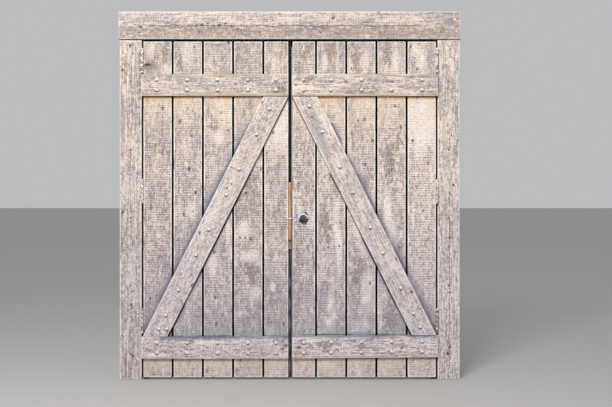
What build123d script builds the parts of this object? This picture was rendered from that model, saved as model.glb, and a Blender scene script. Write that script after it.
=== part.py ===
from build123d import *
import os
from collections import namedtuple
from math import asin, atan2, cos, hypot, radians, sin, tan

os.makedirs("parts", exist_ok=True)

# Barn door: two outward-swinging leaves of shiplapped planks in a timber frame.
# X runs to the right, Y away from the viewer, Z up. The origin is at the foot, in the middle of the
# width and of the depth. All sizes are in millimetres.

# Planks of a leaf
LEAF_HEIGHT = 2122.0
PLANK_WIDTH = 182.0
LEFT_INNER_PLANK_WIDTH = 155.0
RIGHT_INNER_PLANK_WIDTH = 146.0
WIDE_PLANK_COUNT = 4
PLANK_THICKNESS = 38.0
PLANK_GAP = 8.5
LAP_THICKNESS = 12.0
LAP_WIDTH = 10.0
LAP_CLEARANCE = 0.5
ARRIS = 1.5

# Gaps round the leaves
SIDE_GAP = 9.0
CENTRE_GAP = 23.0
HEAD_GAP = 12.0
FOOT_GAP = 12.0

# Rails and braces, all sawn to one thickness
BATTEN_THICKNESS = 25.0
RAIL_WIDTH = 140.0
RAIL_END_CLEARANCE = 0.5
TOP_RAIL_DROP = 209.0
BOTTOM_RAIL_RISE = 122.0
RIGHT_RAIL_TILT = 0.6
BRACE_WIDTH = 140.0

# Frame
CASING_WIDTH = 140.0
CASING_THICKNESS = 38.0
CASING_TOP_GAP = 5.0
HEADER_HEIGHT = 175.0
HEADER_THICKNESS = 44.0
HEADER_OVERHANG = 7.0
POST_WIDTH = 89.0
POST_DEPTH = 89.0
BEAM_HEIGHT = 89.0
STOP_WIDTH = 38.0
STOP_DEPTH = 38.0
STOP_CLEARANCE = 2.0
FIXING_HOLE_DIAMETER = 13.0
FIXING_HOLE_SPACING = 1300.0
FIXING_HOLE_BACK = 28.0

# Nails of the casing and header
NAIL_DIAMETER = 4.5
NAIL_HEAD_DIAMETER = 10.0
NAIL_HEAD_HEIGHT = 1.2
NAIL_LENGTH = 90.0
CASING_NAIL_COUNT = 5
CASING_NAIL_FOOT = 162.0
CASING_NAIL_DROP = 262.0
HEADER_NAIL_COUNT = 6
HEADER_NAIL_INSET = 130.0

# Carriage bolts, washers and nuts
BOLT_DIAMETER = 10.0
BOLT_HEAD_DIAMETER = 22.0
BOLT_HEAD_HEIGHT = 5.0
BOLT_NECK_LENGTH = 5.0
BOLT_TAIL = 4.0
WASHER_DIAMETER = 26.0
WASHER_THICKNESS = 2.0
NUT_WIDTH = 17.0
NUT_HEIGHT = 8.0
WOOD_HOLE_CLEARANCE = 0.4
THREAD_CLEARANCE = 0.05
RAIL_BOLT_SPACING = 64.0
BRACE_BOLT_INSET = 36.0
FOOT_BOLT_HEIGHT = 50.0
FOOT_BOLT_PITCH = 50.0

# Butt hinges
HINGE_HEIGHT = 152.0
HINGE_PLATE_REACH = 44.0
HINGE_PLATE_THICKNESS = 3.4
HINGE_PIN_PROUD = 10.0
KNUCKLE_DIAMETER = 16.0
KNUCKLE_COUNT = 5
KNUCKLE_PLAY = 0.5
HINGE_PIN_DIAMETER = 7.0
HINGE_PIN_FIT = 0.08
PIN_TIP_DIAMETER = 13.0
PIN_TIP_HEIGHT = 4.0
LOW_HINGE_HEIGHT = 370.0
MIDDLE_HINGE_HEIGHT = 1184.0
HIGH_HINGE_DROP = 123.0
HINGE_SCREW_DIAMETER = 5.0
HINGE_SCREW_HEAD_DIAMETER = 9.6
HINGE_SCREW_LENGTH = 40.0
HINGE_SCREW_OUTER = 58.0
HINGE_SCREW_INNER = 24.0
HINGE_SCREW_FRONT = 12.0
HINGE_SCREW_BACK = 26.0
SCREW_CLEARANCE = 0.1
COUNTERSINK_ANGLE = 90.0

# Strips that half fill the gap at the meeting edge of the left leaf
MEETING_SLIT = 4.0
MEETING_STRIP_SETBACK = 16.0
STRIKE_STRIP_SETBACK = 3.0
STRIKE_STRIP_ABOVE_LOCK = 227.0
STRIKE_STRIP_BELOW_LOCK = 193.0
STRIKE_PLATE_HEIGHT = 70.0
STRIKE_PLATE_WIDTH = 24.0
STRIKE_PLATE_THICKNESS = 2.5
STRIKE_LIP_HEIGHT = 10.0
STRIKE_LIP_OVERLAP = 9.0
STRIKE_SCREW_SPACING = 50.0

# Deadlock in the right leaf
LOCK_HEIGHT = 1016.0
BACKSET = 70.0
LOCK_BORE_DIAMETER = 54.0
EDGE_BORE_CLEARANCE = 0.2
CASE_DIAMETER = 25.0
CASE_TAIL = 12.0
FACE_PLATE_HEIGHT = 57.0
FACE_PLATE_WIDTH = 25.4
FACE_PLATE_THICKNESS = 2.5
FACE_PLATE_CORNER = 6.0
DEADBOLT_HEIGHT = 20.0
DEADBOLT_THICKNESS = 13.0
DEADBOLT_CORNER = 3.0
DEADBOLT_THROW = 25.0
DEADBOLT_NOSE = 2.0
DEADBOLT_TAIL_GAP = 8.0
DEADBOLT_CLEARANCE = 0.3
MORTISE_CLEARANCE = 1.0
MORTISE_DEPTH_CLEARANCE = 2.0
COLLAR_DIAMETER = 62.0
COLLAR_FRONT_DIAMETER = 52.0
COLLAR_HEIGHT = 16.0
COLLAR_RIM = 4.0
COLLAR_BULGE = 1.0
CYLINDER_DIAMETER = 34.0
CYLINDER_RECESS = 1.0
CYLINDER_DEPTH = 5.0
PLUG_DIAMETER = 12.8
PLUG_FIT = 0.08
CYLINDER_FIT = 0.1
KEYWAY_WIDTH = 2.2
KEYWAY_HEIGHT = 9.0
KEYWAY_DEPTH = 16.0
TAILPIECE_WIDTH = 7.0
TAILPIECE_THICKNESS = 2.2
TAILPIECE_HOLE_DIAMETER = 10.0
TAILPIECE_PLAY = 0.5
ROSE_DIAMETER = 62.0
ROSE_HEIGHT = 9.0
ROSE_CORNER = 3.0
SPINDLE_DIAMETER = 14.0
SPINDLE_FIT = 0.1
SPINDLE_DEPTH = 6.0
TURN_DISC_DIAMETER = 26.0
TURN_DISC_HEIGHT = 3.0
TURN_DISC_GAP = 0.4
TURN_HEIGHT = 36.0
TURN_WIDTH = 9.0
TURN_REACH = 20.0
TURN_CORNER = 4.0
LOCK_SCREW_OFFSET = 22.0
LOCK_SCREW_DIAMETER = 5.0
LOCK_SCREW_HEAD_DIAMETER = 9.0
LOCK_SCREW_BITE = 9.0

# Head and foot bolts on the back of the left leaf
ROD_DIAMETER = 12.0
ROD_LENGTH = 260.0
ROD_THROW = 38.0
ROD_END_GAP = 3.0
ROD_INSET = 40.0
ROD_CLEARANCE = 0.3
ROD_STANDOFF = 3.5
ROD_CHAMFER = 1.5
KNOB_DIAMETER = 9.0
KNOB_REACH = 20.0
GUIDE_LENGTH = 150.0
GUIDE_WIDTH = 44.0
GUIDE_THICKNESS = 2.5
GUIDE_SETBACK = 40.0
STAPLE_WIDTH = 22.0
STAPLE_LENGTH = 14.0
STAPLE_WALL = 3.0
KEEPER_CLEARANCE = 1.0
KEEPER_DEPTH_CLEARANCE = 5.0
FITTING_SCREW_DIAMETER = 4.0
FITTING_SCREW_HEAD_DIAMETER = 8.0
FITTING_SCREW_LENGTH = 25.0
GUIDE_SCREW_EDGE = 6.0
GUIDE_SCREW_END = 30.0

# Widths and levels worked out from the sizes above
PLANK_PITCH = PLANK_WIDTH + PLANK_GAP
WIDE_PLANKS_REACH = WIDE_PLANK_COUNT * PLANK_PITCH
LEFT_WIDTH = WIDE_PLANKS_REACH + LEFT_INNER_PLANK_WIDTH
RIGHT_WIDTH = WIDE_PLANKS_REACH + RIGHT_INNER_PLANK_WIDTH
OPENING_EDGE = (LEFT_WIDTH + RIGHT_WIDTH + CENTRE_GAP) / 2 + SIDE_GAP
HINGE_EDGE = OPENING_EDGE - SIDE_GAP
PIN_X = OPENING_EDGE - SIDE_GAP / 2
LEAF_TOP = FOOT_GAP + LEAF_HEIGHT
HEADER_BOTTOM = LEAF_TOP + HEAD_GAP
CASING_TOP = HEADER_BOTTOM - CASING_TOP_GAP
CASING_MIDDLE = OPENING_EDGE + CASING_WIDTH / 2
TOP_RAIL_BOTTOM = LEAF_TOP - TOP_RAIL_DROP - RAIL_WIDTH
BOTTOM_RAIL_BOTTOM = FOOT_GAP + BOTTOM_RAIL_RISE
HINGE_LEVELS = (LOW_HINGE_HEIGHT, MIDDLE_HINGE_HEIGHT, LEAF_TOP - HIGH_HINGE_DROP)
KNUCKLE_PITCH = HINGE_HEIGHT / KNUCKLE_COUNT

# Depths, from the front of the bolt heads to the back of the posts
DEPTH = BATTEN_THICKNESS + BOLT_HEAD_HEIGHT + CASING_THICKNESS + POST_DEPTH
FACE = BATTEN_THICKNESS + BOLT_HEAD_HEIGHT - DEPTH / 2
BATTEN_FRONT = FACE - BATTEN_THICKNESS
PLANK_BACK = FACE + PLANK_THICKNESS
CASING_BACK = FACE + CASING_THICKNESS
POST_BACK = CASING_BACK + POST_DEPTH
STOP_FRONT = PLANK_BACK + STOP_CLEARANCE
PIN_Y = FACE - HINGE_PIN_PROUD
LOCK_Y = FACE + PLANK_THICKNESS / 2
ROD_Y = PLANK_BACK + GUIDE_THICKNESS + ROD_STANDOFF + ROD_DIAMETER / 2

# A leaf's own measure u runs from its hinge edge, u = 0, to its meeting edge, u = width
Leaf = namedtuple("Leaf", "name side inner_plank_width width rail_tilt foot_bolts")
LEFT = Leaf("left", -1, LEFT_INNER_PLANK_WIDTH, LEFT_WIDTH, 0.0, 2)
RIGHT = Leaf("right", 1, RIGHT_INNER_PLANK_WIDTH, RIGHT_WIDTH, RIGHT_RAIL_TILT, 1)
LEAVES = (LEFT, RIGHT)


def across(leaf, u):
    """X of the point at u on a leaf."""
    return leaf.side * (HINGE_EDGE - u)


LEFT_MEETING_EDGE = across(LEFT, LEFT_WIDTH)
RIGHT_MEETING_EDGE = across(RIGHT, RIGHT_WIDTH)
STRIP_EDGE = RIGHT_MEETING_EDGE - MEETING_SLIT
STRIKE_SEAT = STRIP_EDGE - STRIKE_PLATE_THICKNESS
LOCK_X = RIGHT_MEETING_EDGE + BACKSET
LOCK_AXIS = Axis((LOCK_X, 0, LOCK_HEIGHT), (0, 1, 0))
ROD_X = LEFT_MEETING_EDGE - ROD_INSET


def facing(y):
    """Upright plane at depth y that looks at the viewer. Its local axes are X and Z."""
    return Plane.XZ.offset(-y)


def crossing(x):
    """Upright plane at x, square to the leaves. Its local axes are Y and Z."""
    return Plane.YZ.offset(x)


def save(piece, name):
    piece.part.label = name
    export_step(piece.part, f"parts/{name}.step")


def span(low, high):
    """Middle and length of a stretch."""
    return (low + high) / 2, abs(high - low)


def evenly(first, last, count):
    """Evenly spaced places from first to last."""
    return [first + i * (last - first) / (count - 1) for i in range(count)]


def plank_spans(leaf):
    """Where each plank of a leaf starts and ends, from the hinge edge on."""
    spans = [(i * PLANK_PITCH, i * PLANK_PITCH + PLANK_WIDTH) for i in range(WIDE_PLANK_COUNT)]
    return spans + [(WIDE_PLANKS_REACH, WIDE_PLANKS_REACH + leaf.inner_plank_width)]


def rail_rise(leaf, u):
    """How much the bottom rail has climbed at u, from its level at the meeting edge."""
    return (leaf.width - u) * tan(radians(leaf.rail_tilt))


def brace_angle(leaf):
    """Lean of the brace that fits corner to corner between the rails."""
    run = leaf.width
    rise = TOP_RAIL_BOTTOM - (BOTTOM_RAIL_BOTTOM + RAIL_WIDTH + rail_rise(leaf, 0))
    return atan2(run, rise) - asin(BRACE_WIDTH / hypot(run, rise))


def brace_corners(leaf):
    """Corners of the brace as (u, z), from the hinge-side foot round by the meeting-side foot."""
    lean = brace_angle(leaf)
    rail_top = BOTTOM_RAIL_BOTTOM + RAIL_WIDTH
    tilt = tan(radians(leaf.rail_tilt))
    reach = (TOP_RAIL_BOTTOM - rail_top) * tan(lean) / (1 + tilt * tan(lean))
    return (
        (0, rail_top + rail_rise(leaf, 0)),
        (leaf.width - reach, rail_top + reach * tilt),
        (leaf.width, TOP_RAIL_BOTTOM),
        (leaf.width - BRACE_WIDTH / cos(lean), TOP_RAIL_BOTTOM),
    )


def brace_middle(leaf, u):
    """Level of the brace's middle line at u."""
    half = BRACE_WIDTH / cos(brace_angle(leaf)) / 2
    return TOP_RAIL_BOTTOM - (leaf.width - half - u) / tan(brace_angle(leaf))


def rail_bolts(leaf, low, tilted):
    """Two bolts for each plank in a rail whose lower edge is at low."""
    points = []
    for start, end in plank_spans(leaf):
        u = (start + end) / 2
        rise = rail_rise(leaf, u) if tilted else 0
        for row in (-1, 1):
            points.append((across(leaf, u), low + RAIL_WIDTH / 2 + row * RAIL_BOLT_SPACING / 2 + rise))
    return points


def brace_bolts(leaf):
    """Bolts on the brace's middle line, near both edges of each plank, and the pair at its foot."""
    lean = brace_angle(leaf)
    half = BRACE_WIDTH / cos(lean) / 2
    foot = half + FOOT_BOLT_HEIGHT * tan(lean)
    points = []
    for start, end in plank_spans(leaf):
        for u in (start + BRACE_BOLT_INSET, end - BRACE_BOLT_INSET):
            if foot + WASHER_DIAMETER < u < leaf.width - half - BOLT_HEAD_DIAMETER:
                points.append((across(leaf, u), brace_middle(leaf, u)))
    for i in range(leaf.foot_bolts):
        points.append((across(leaf, foot + i * FOOT_BOLT_PITCH), brace_middle(leaf, foot)))
    return points


def leaf_bolts(leaf):
    return (
        rail_bolts(leaf, TOP_RAIL_BOTTOM, False)
        + rail_bolts(leaf, BOTTOM_RAIL_BOTTOM, True)
        + brace_bolts(leaf)
    )


def bolts_between(points, low, high):
    """The bolts whose x lies between two edges given in either order."""
    return [p for p in points if min(low, high) < p[0] < max(low, high)]


def hinge_screws(x, direction):
    """Planes on a hinge plate's face, one for each screw, looking along direction."""
    planes = []
    for level in HINGE_LEVELS:
        for rise, depth in ((HINGE_SCREW_OUTER, HINGE_SCREW_FRONT), (HINGE_SCREW_INNER, HINGE_SCREW_BACK)):
            for way in (-1, 1):
                planes.append(Plane(origin=(x, FACE + depth, level + way * rise), z_dir=(direction, 0, 0)))
    return planes


def frame_screws(leaf):
    return hinge_screws(leaf.side * (OPENING_EDGE - HINGE_PLATE_THICKNESS), -leaf.side)


def door_screws(leaf):
    return hinge_screws(leaf.side * (HINGE_EDGE + HINGE_PLATE_THICKNESS), leaf.side)


def cap_shoulder(radius, height):
    """Point half-way along the side of a round cap that stands on z = 0, as (radius, z)."""
    sphere = (radius**2 + height**2) / (2 * height)
    half_angle = asin(radius / sphere) / 2
    return sphere * sin(half_angle), sphere * cos(half_angle) + height - sphere


def countersunk_holes(planes, diameter, head_diameter, thickness):
    """Cuts clear holes for countersunk screws through a plate of this thickness."""
    with Locations(*planes):
        CounterSinkHole(
            radius=diameter / 2 + SCREW_CLEARANCE,
            counter_sink_radius=head_diameter / 2 + SCREW_CLEARANCE,
            depth=thickness + SCREW_CLEARANCE,
            counter_sink_angle=COUNTERSINK_ANGLE,
        )


def screw_holes(planes, diameter, length):
    """Cuts the holes that wood screws with their heads on these planes need in the wood in hand."""
    with Locations(*planes):
        Hole(diameter / 2 + SCREW_CLEARANCE, depth=length + SCREW_CLEARANCE)


def wood_screw(diameter, head_diameter, length):
    """Countersunk screw with its head flush at z = 0 and its point down."""
    radius, head = diameter / 2, head_diameter / 2
    neck = (radius - head) / tan(radians(COUNTERSINK_ANGLE / 2))
    with BuildPart() as screw:
        with BuildSketch(Plane.XZ):
            with BuildLine():
                Polyline(
                    (0, 0),
                    (head, 0),
                    (radius, neck),
                    (radius, diameter - length),
                    (0, -length),
                    close=True,
                )
            make_face()
        revolve(axis=Axis.Z)
    return screw.part


def nail():
    """Flat-headed nail whose head sits on z = 0, with its point down."""
    with BuildPart() as piece:
        with BuildSketch(Plane.XZ):
            with BuildLine():
                Polyline(
                    (0, NAIL_HEAD_HEIGHT),
                    (NAIL_HEAD_DIAMETER / 2, NAIL_HEAD_HEIGHT),
                    (NAIL_HEAD_DIAMETER / 2, 0),
                    (NAIL_DIAMETER / 2, 0),
                    (NAIL_DIAMETER / 2, NAIL_DIAMETER - NAIL_LENGTH),
                    (0, -NAIL_LENGTH),
                    close=True,
                )
            make_face()
        revolve(axis=Axis.Z)
    return piece.part


def carriage_bolt():
    """Domed bolt whose head sits on z = 0, with a square neck under it."""
    grip = BATTEN_THICKNESS + PLANK_THICKNESS + WASHER_THICKNESS + NUT_HEIGHT
    head = BOLT_HEAD_DIAMETER / 2
    with BuildPart() as bolt:
        with BuildSketch(Plane.XZ):
            with BuildLine():
                ThreePointArc((0, BOLT_HEAD_HEIGHT), cap_shoulder(head, BOLT_HEAD_HEIGHT), (head, 0))
                Polyline(
                    (head, 0),
                    (BOLT_DIAMETER / 2, 0),
                    (BOLT_DIAMETER / 2, -grip - BOLT_TAIL),
                    (0, -grip - BOLT_TAIL),
                    (0, BOLT_HEAD_HEIGHT),
                )
            make_face()
        revolve(axis=Axis.Z)
        with BuildSketch():
            Rectangle(BOLT_DIAMETER, BOLT_DIAMETER)
        extrude(amount=-BOLT_NECK_LENGTH)
    return bolt.part


# Frame boards

HEADER_END = OPENING_EDGE + CASING_WIDTH + HEADER_OVERHANG
NAIL_LEVELS = evenly(CASING_NAIL_FOOT, CASING_TOP - CASING_NAIL_DROP, CASING_NAIL_COUNT)
HEADER_NAIL_PLACES = [
    (x, HEADER_BOTTOM + BEAM_HEIGHT / 2)
    for x in evenly(HEADER_NAIL_INSET - HEADER_END, HEADER_END - HEADER_NAIL_INSET, HEADER_NAIL_COUNT)
]
HEADER_FRONT = CASING_BACK - HEADER_THICKNESS


def casing_nails(leaf):
    return [(leaf.side * CASING_MIDDLE, level) for level in NAIL_LEVELS]


def nail_holes(points, y):
    """Cuts the holes of nails driven in at depth y into the board in hand."""
    with Locations(*[Plane(origin=(x, y, z), z_dir=(0, -1, 0)) for x, z in points]):
        Hole(radius=NAIL_DIAMETER / 2 + SCREW_CLEARANCE, depth=NAIL_LENGTH + SCREW_CLEARANCE)


for leaf in LEAVES:
    with BuildPart() as casing:
        with BuildSketch(facing(CASING_BACK)):
            with Locations((leaf.side * CASING_MIDDLE, CASING_TOP / 2)):
                Rectangle(CASING_WIDTH, CASING_TOP)
        extrude(amount=CASING_THICKNESS)
        chamfer(casing.faces().sort_by(Axis.Y)[0].edges(), length=ARRIS)
        nail_holes(casing_nails(leaf), FACE)
        screw_holes(frame_screws(leaf), HINGE_SCREW_DIAMETER, HINGE_SCREW_LENGTH)
    save(casing, f"{leaf.name}_casing_board")

    with BuildPart() as post:
        with BuildSketch(Plane.XY):
            with Locations((leaf.side * (OPENING_EDGE + POST_WIDTH / 2), CASING_BACK + POST_DEPTH / 2)):
                Rectangle(POST_WIDTH, POST_DEPTH)
        extrude(amount=HEADER_BOTTOM)
        nail_holes(casing_nails(leaf), FACE)
        with BuildSketch(crossing(leaf.side * OPENING_EDGE)):
            with Locations((POST_BACK - FIXING_HOLE_BACK, HEADER_BOTTOM / 2)):
                with GridLocations(0, FIXING_HOLE_SPACING, 1, 2):
                    Circle(FIXING_HOLE_DIAMETER / 2)
        extrude(amount=leaf.side * POST_WIDTH, mode=Mode.SUBTRACT)
    save(post, f"{leaf.name}_post")

    with BuildPart() as stop:
        with BuildSketch(Plane.XY):
            with Locations((leaf.side * (OPENING_EDGE - STOP_WIDTH / 2), STOP_FRONT + STOP_DEPTH / 2)):
                Rectangle(STOP_WIDTH, STOP_DEPTH)
        extrude(amount=HEADER_BOTTOM - STOP_WIDTH)
    save(stop, f"{leaf.name}_stop")

with BuildPart() as header:
    with BuildSketch(facing(CASING_BACK)):
        with Locations((0, HEADER_BOTTOM + HEADER_HEIGHT / 2)):
            Rectangle(2 * HEADER_END, HEADER_HEIGHT)
    extrude(amount=HEADER_THICKNESS)
    chamfer(header.faces().sort_by(Axis.Y)[0].edges(), length=ARRIS)
    nail_holes(HEADER_NAIL_PLACES, HEADER_FRONT)
save(header, "header_board")

HEAD_ROD_END = HEADER_BOTTOM - STOP_WIDTH - ROD_END_GAP
FOOT_ROD_END = FOOT_GAP + ROD_END_GAP
KEEPER_TOP = HEAD_ROD_END + ROD_THROW + KEEPER_DEPTH_CLEARANCE


def keeper_hole():
    """Cuts the hole that the head bolt enters into the board in hand."""
    with Locations((ROD_X, ROD_Y, KEEPER_TOP)):
        Hole(radius=ROD_DIAMETER / 2 + KEEPER_CLEARANCE, depth=ROD_LENGTH)


with BuildPart() as beam:
    with BuildSketch(facing(POST_BACK)):
        with Locations((0, HEADER_BOTTOM + BEAM_HEIGHT / 2)):
            Rectangle(2 * (OPENING_EDGE + POST_WIDTH), BEAM_HEIGHT)
    extrude(amount=POST_DEPTH)
    nail_holes(HEADER_NAIL_PLACES, HEADER_FRONT)
    keeper_hole()
save(beam, "head_beam")

with BuildPart() as head_stop:
    with BuildSketch(facing(STOP_FRONT + STOP_DEPTH)):
        with Locations((0, HEADER_BOTTOM - STOP_WIDTH / 2)):
            Rectangle(2 * OPENING_EDGE, STOP_WIDTH)
    extrude(amount=STOP_DEPTH)
    keeper_hole()
save(head_stop, "head_stop")

one_nail = nail()
with BuildPart() as nails:
    for leaf in LEAVES:
        with Locations(*[Plane(origin=(x, FACE, z), z_dir=(0, -1, 0)) for x, z in casing_nails(leaf)]):
            add(one_nail)
    with Locations(*[Plane(origin=(x, HEADER_FRONT, z), z_dir=(0, -1, 0)) for x, z in HEADER_NAIL_PLACES]):
        add(one_nail)
save(nails, "frame_nails")

# Hinges: three to a leaf, each with a frame plate, a door plate and a pin


def hinge_plates(leaf, edge, inward, first_knuckle):
    """The plates on one side of the pins, at the height of all three hinges.

    edge is the wood that they lie on and inward the way from it to the pin. Every second knuckle
    belongs to them, from first_knuckle on, and the others are cut clear.
    """
    x_middle, _ = span(edge, edge + inward * HINGE_PLATE_THICKNESS)
    pin = (leaf.side * PIN_X, PIN_Y)
    feet = [level - HINGE_HEIGHT / 2 for level in HINGE_LEVELS]
    with BuildPart() as plates:
        for foot in feet:
            with BuildSketch(Plane.XY.offset(foot)):
                with Locations((x_middle, PIN_Y + HINGE_PLATE_REACH / 2)):
                    Rectangle(HINGE_PLATE_THICKNESS, HINGE_PLATE_REACH)
            extrude(amount=HINGE_HEIGHT)
        for foot in feet:
            for i in range(1 - first_knuckle, KNUCKLE_COUNT, 2):
                with BuildSketch(Plane.XY.offset(foot + i * KNUCKLE_PITCH - KNUCKLE_PLAY / 2)):
                    with Locations(pin):
                        Circle(KNUCKLE_DIAMETER / 2 + KNUCKLE_PLAY)
                extrude(amount=KNUCKLE_PITCH + KNUCKLE_PLAY, mode=Mode.SUBTRACT)
            for i in range(first_knuckle, KNUCKLE_COUNT, 2):
                with BuildSketch(Plane.XY.offset(foot + i * KNUCKLE_PITCH + KNUCKLE_PLAY / 2)):
                    with Locations(pin):
                        Circle(KNUCKLE_DIAMETER / 2)
                extrude(amount=KNUCKLE_PITCH - KNUCKLE_PLAY)
            with BuildSketch(Plane.XY.offset(foot)):
                with Locations(pin):
                    Circle(HINGE_PIN_DIAMETER / 2 + HINGE_PIN_FIT)
            extrude(amount=HINGE_HEIGHT, mode=Mode.SUBTRACT)
        countersunk_holes(
            hinge_screws(edge + inward * HINGE_PLATE_THICKNESS, inward),
            HINGE_SCREW_DIAMETER,
            HINGE_SCREW_HEAD_DIAMETER,
            HINGE_PLATE_THICKNESS,
        )
    return plates


for leaf in LEAVES:
    frame_plates = hinge_plates(leaf, leaf.side * OPENING_EDGE, -leaf.side, 0)
    save(frame_plates, f"{leaf.name}_frame_hinge_leaves")
    door_plates = hinge_plates(leaf, leaf.side * HINGE_EDGE, leaf.side, 1)
    save(door_plates, f"{leaf.name}_door_hinge_leaves")

with BuildPart() as pin:
    with BuildSketch(Plane.XZ):
        with BuildLine():
            Polyline(
                (PIN_TIP_DIAMETER / 2, 0),
                (HINGE_PIN_DIAMETER / 2, 0),
                (HINGE_PIN_DIAMETER / 2, -HINGE_HEIGHT),
                (0, -HINGE_HEIGHT - PIN_TIP_HEIGHT / 2),
                (0, PIN_TIP_HEIGHT),
            )
            shoulder = cap_shoulder(PIN_TIP_DIAMETER / 2, PIN_TIP_HEIGHT)
            ThreePointArc((0, PIN_TIP_HEIGHT), shoulder, (PIN_TIP_DIAMETER / 2, 0))
        make_face()
    revolve(axis=Axis.Z)
one_pin = pin.part

with BuildPart() as pins:
    with Locations(*[
        (leaf.side * PIN_X, PIN_Y, level + HINGE_HEIGHT / 2) for leaf in LEAVES for level in HINGE_LEVELS
    ]):
        add(one_pin)
save(pins, "hinge_pins")

one_hinge_screw = wood_screw(HINGE_SCREW_DIAMETER, HINGE_SCREW_HEAD_DIAMETER, HINGE_SCREW_LENGTH)
with BuildPart() as frame_side_screws:
    with Locations(*frame_screws(LEFT), *frame_screws(RIGHT)):
        add(one_hinge_screw)
save(frame_side_screws, "frame_hinge_screws")
for leaf in LEAVES:
    with BuildPart() as door_side_screws:
        with Locations(*door_screws(leaf)):
            add(one_hinge_screw)
    save(door_side_screws, f"{leaf.name}_door_hinge_screws")

# Fittings whose screws and mortises the planks are cut for

STRIKE_SCREWS = [
    Plane(origin=(STRIP_EDGE, LOCK_Y, LOCK_HEIGHT + way * STRIKE_SCREW_SPACING / 2), z_dir=(1, 0, 0))
    for way in (-1, 1)
]
MORTISE_BOTTOM = RIGHT_MEETING_EDGE - DEADBOLT_NOSE - DEADBOLT_THROW - MORTISE_DEPTH_CLEARANCE


def guide_middle(end, away):
    """Middle level of the guide of a rod that ends at end and reaches away from there."""
    return end + away * (GUIDE_SETBACK + GUIDE_LENGTH / 2)


def guide_screws(end, away):
    side = GUIDE_WIDTH / 2 - GUIDE_SCREW_EDGE
    rise = GUIDE_LENGTH / 2 - GUIDE_SCREW_END
    middle = guide_middle(end, away)
    return [
        Plane(origin=(ROD_X + i * side, PLANK_BACK + GUIDE_THICKNESS, middle + j * rise), z_dir=(0, 1, 0))
        for i in (-1, 1)
        for j in (-1, 1)
    ]


GUIDE_SCREWS = guide_screws(HEAD_ROD_END, -1) + guide_screws(FOOT_ROD_END, 1)


def deadbolt_bar(x_low, x_high, clearance):
    """A bar along X of the deadbolt's section, grown by a clearance."""
    with BuildPart() as bar:
        with BuildSketch(crossing(x_low)):
            with Locations((LOCK_Y, LOCK_HEIGHT)):
                RectangleRounded(
                    DEADBOLT_THICKNESS + 2 * clearance,
                    DEADBOLT_HEIGHT + 2 * clearance,
                    DEADBOLT_CORNER + clearance,
                )
        extrude(amount=x_high - x_low)
    return bar


MORTISE = deadbolt_bar(MORTISE_BOTTOM, RIGHT_MEETING_EDGE, MORTISE_CLEARANCE).part

# Planks, rails and braces

HOLE_RADIUS = BOLT_DIAMETER / 2 + WOOD_HOLE_CLEARANCE

for leaf in LEAVES:
    bolts = leaf_bolts(leaf)
    spans = plank_spans(leaf)
    for i, (start, end) in enumerate(spans):
        with BuildPart() as plank:
            with BuildSketch(Plane.XY.offset(FOOT_GAP)):
                u, width = span(start, end)
                with Locations((across(leaf, u), FACE + PLANK_THICKNESS / 2)):
                    Rectangle(width, PLANK_THICKNESS)
                if i < WIDE_PLANK_COUNT:
                    u, width = span(end, end + PLANK_GAP + LAP_WIDTH)
                    with Locations((across(leaf, u), PLANK_BACK - LAP_THICKNESS / 2)):
                        Rectangle(width, LAP_THICKNESS)
                if i > 0:
                    u, width = span(start, start + LAP_WIDTH + LAP_CLEARANCE)
                    height = LAP_THICKNESS + LAP_CLEARANCE
                    with Locations((across(leaf, u), PLANK_BACK - height / 2)):
                        Rectangle(width, height, mode=Mode.SUBTRACT)
            extrude(amount=LEAF_HEIGHT)
            chamfer(plank.faces().sort_by(Axis.Y)[0].edges(), length=ARRIS)
            with BuildSketch(facing(PLANK_BACK)):
                with Locations(*bolts_between(bolts, across(leaf, start), across(leaf, end))):
                    Circle(HOLE_RADIUS)
            extrude(amount=PLANK_THICKNESS, mode=Mode.SUBTRACT)
            if i == 0:
                screw_holes(door_screws(leaf), HINGE_SCREW_DIAMETER, HINGE_SCREW_LENGTH)
            if leaf is LEFT and i == WIDE_PLANK_COUNT:
                screw_holes(STRIKE_SCREWS + GUIDE_SCREWS, FITTING_SCREW_DIAMETER, FITTING_SCREW_LENGTH)
                add(MORTISE, mode=Mode.SUBTRACT)
            if leaf is RIGHT and i == WIDE_PLANK_COUNT:
                with BuildSketch(facing(PLANK_BACK)):
                    with Locations((LOCK_X, LOCK_HEIGHT)):
                        Circle(LOCK_BORE_DIAMETER / 2)
                extrude(amount=PLANK_THICKNESS, mode=Mode.SUBTRACT)
                with BuildSketch(crossing(RIGHT_MEETING_EDGE)):
                    with Locations((LOCK_Y, LOCK_HEIGHT)):
                        Circle(CASE_DIAMETER / 2 + EDGE_BORE_CLEARANCE)
                extrude(amount=BACKSET, mode=Mode.SUBTRACT)
                with BuildSketch(crossing(RIGHT_MEETING_EDGE)):
                    with Locations((LOCK_Y, LOCK_HEIGHT)):
                        RectangleRounded(
                            FACE_PLATE_WIDTH + 2 * EDGE_BORE_CLEARANCE,
                            FACE_PLATE_HEIGHT + 2 * EDGE_BORE_CLEARANCE,
                            FACE_PLATE_CORNER + EDGE_BORE_CLEARANCE,
                        )
                extrude(amount=FACE_PLATE_THICKNESS, mode=Mode.SUBTRACT)
        save(plank, f"{leaf.name}_plank_{i + 1}")


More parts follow.
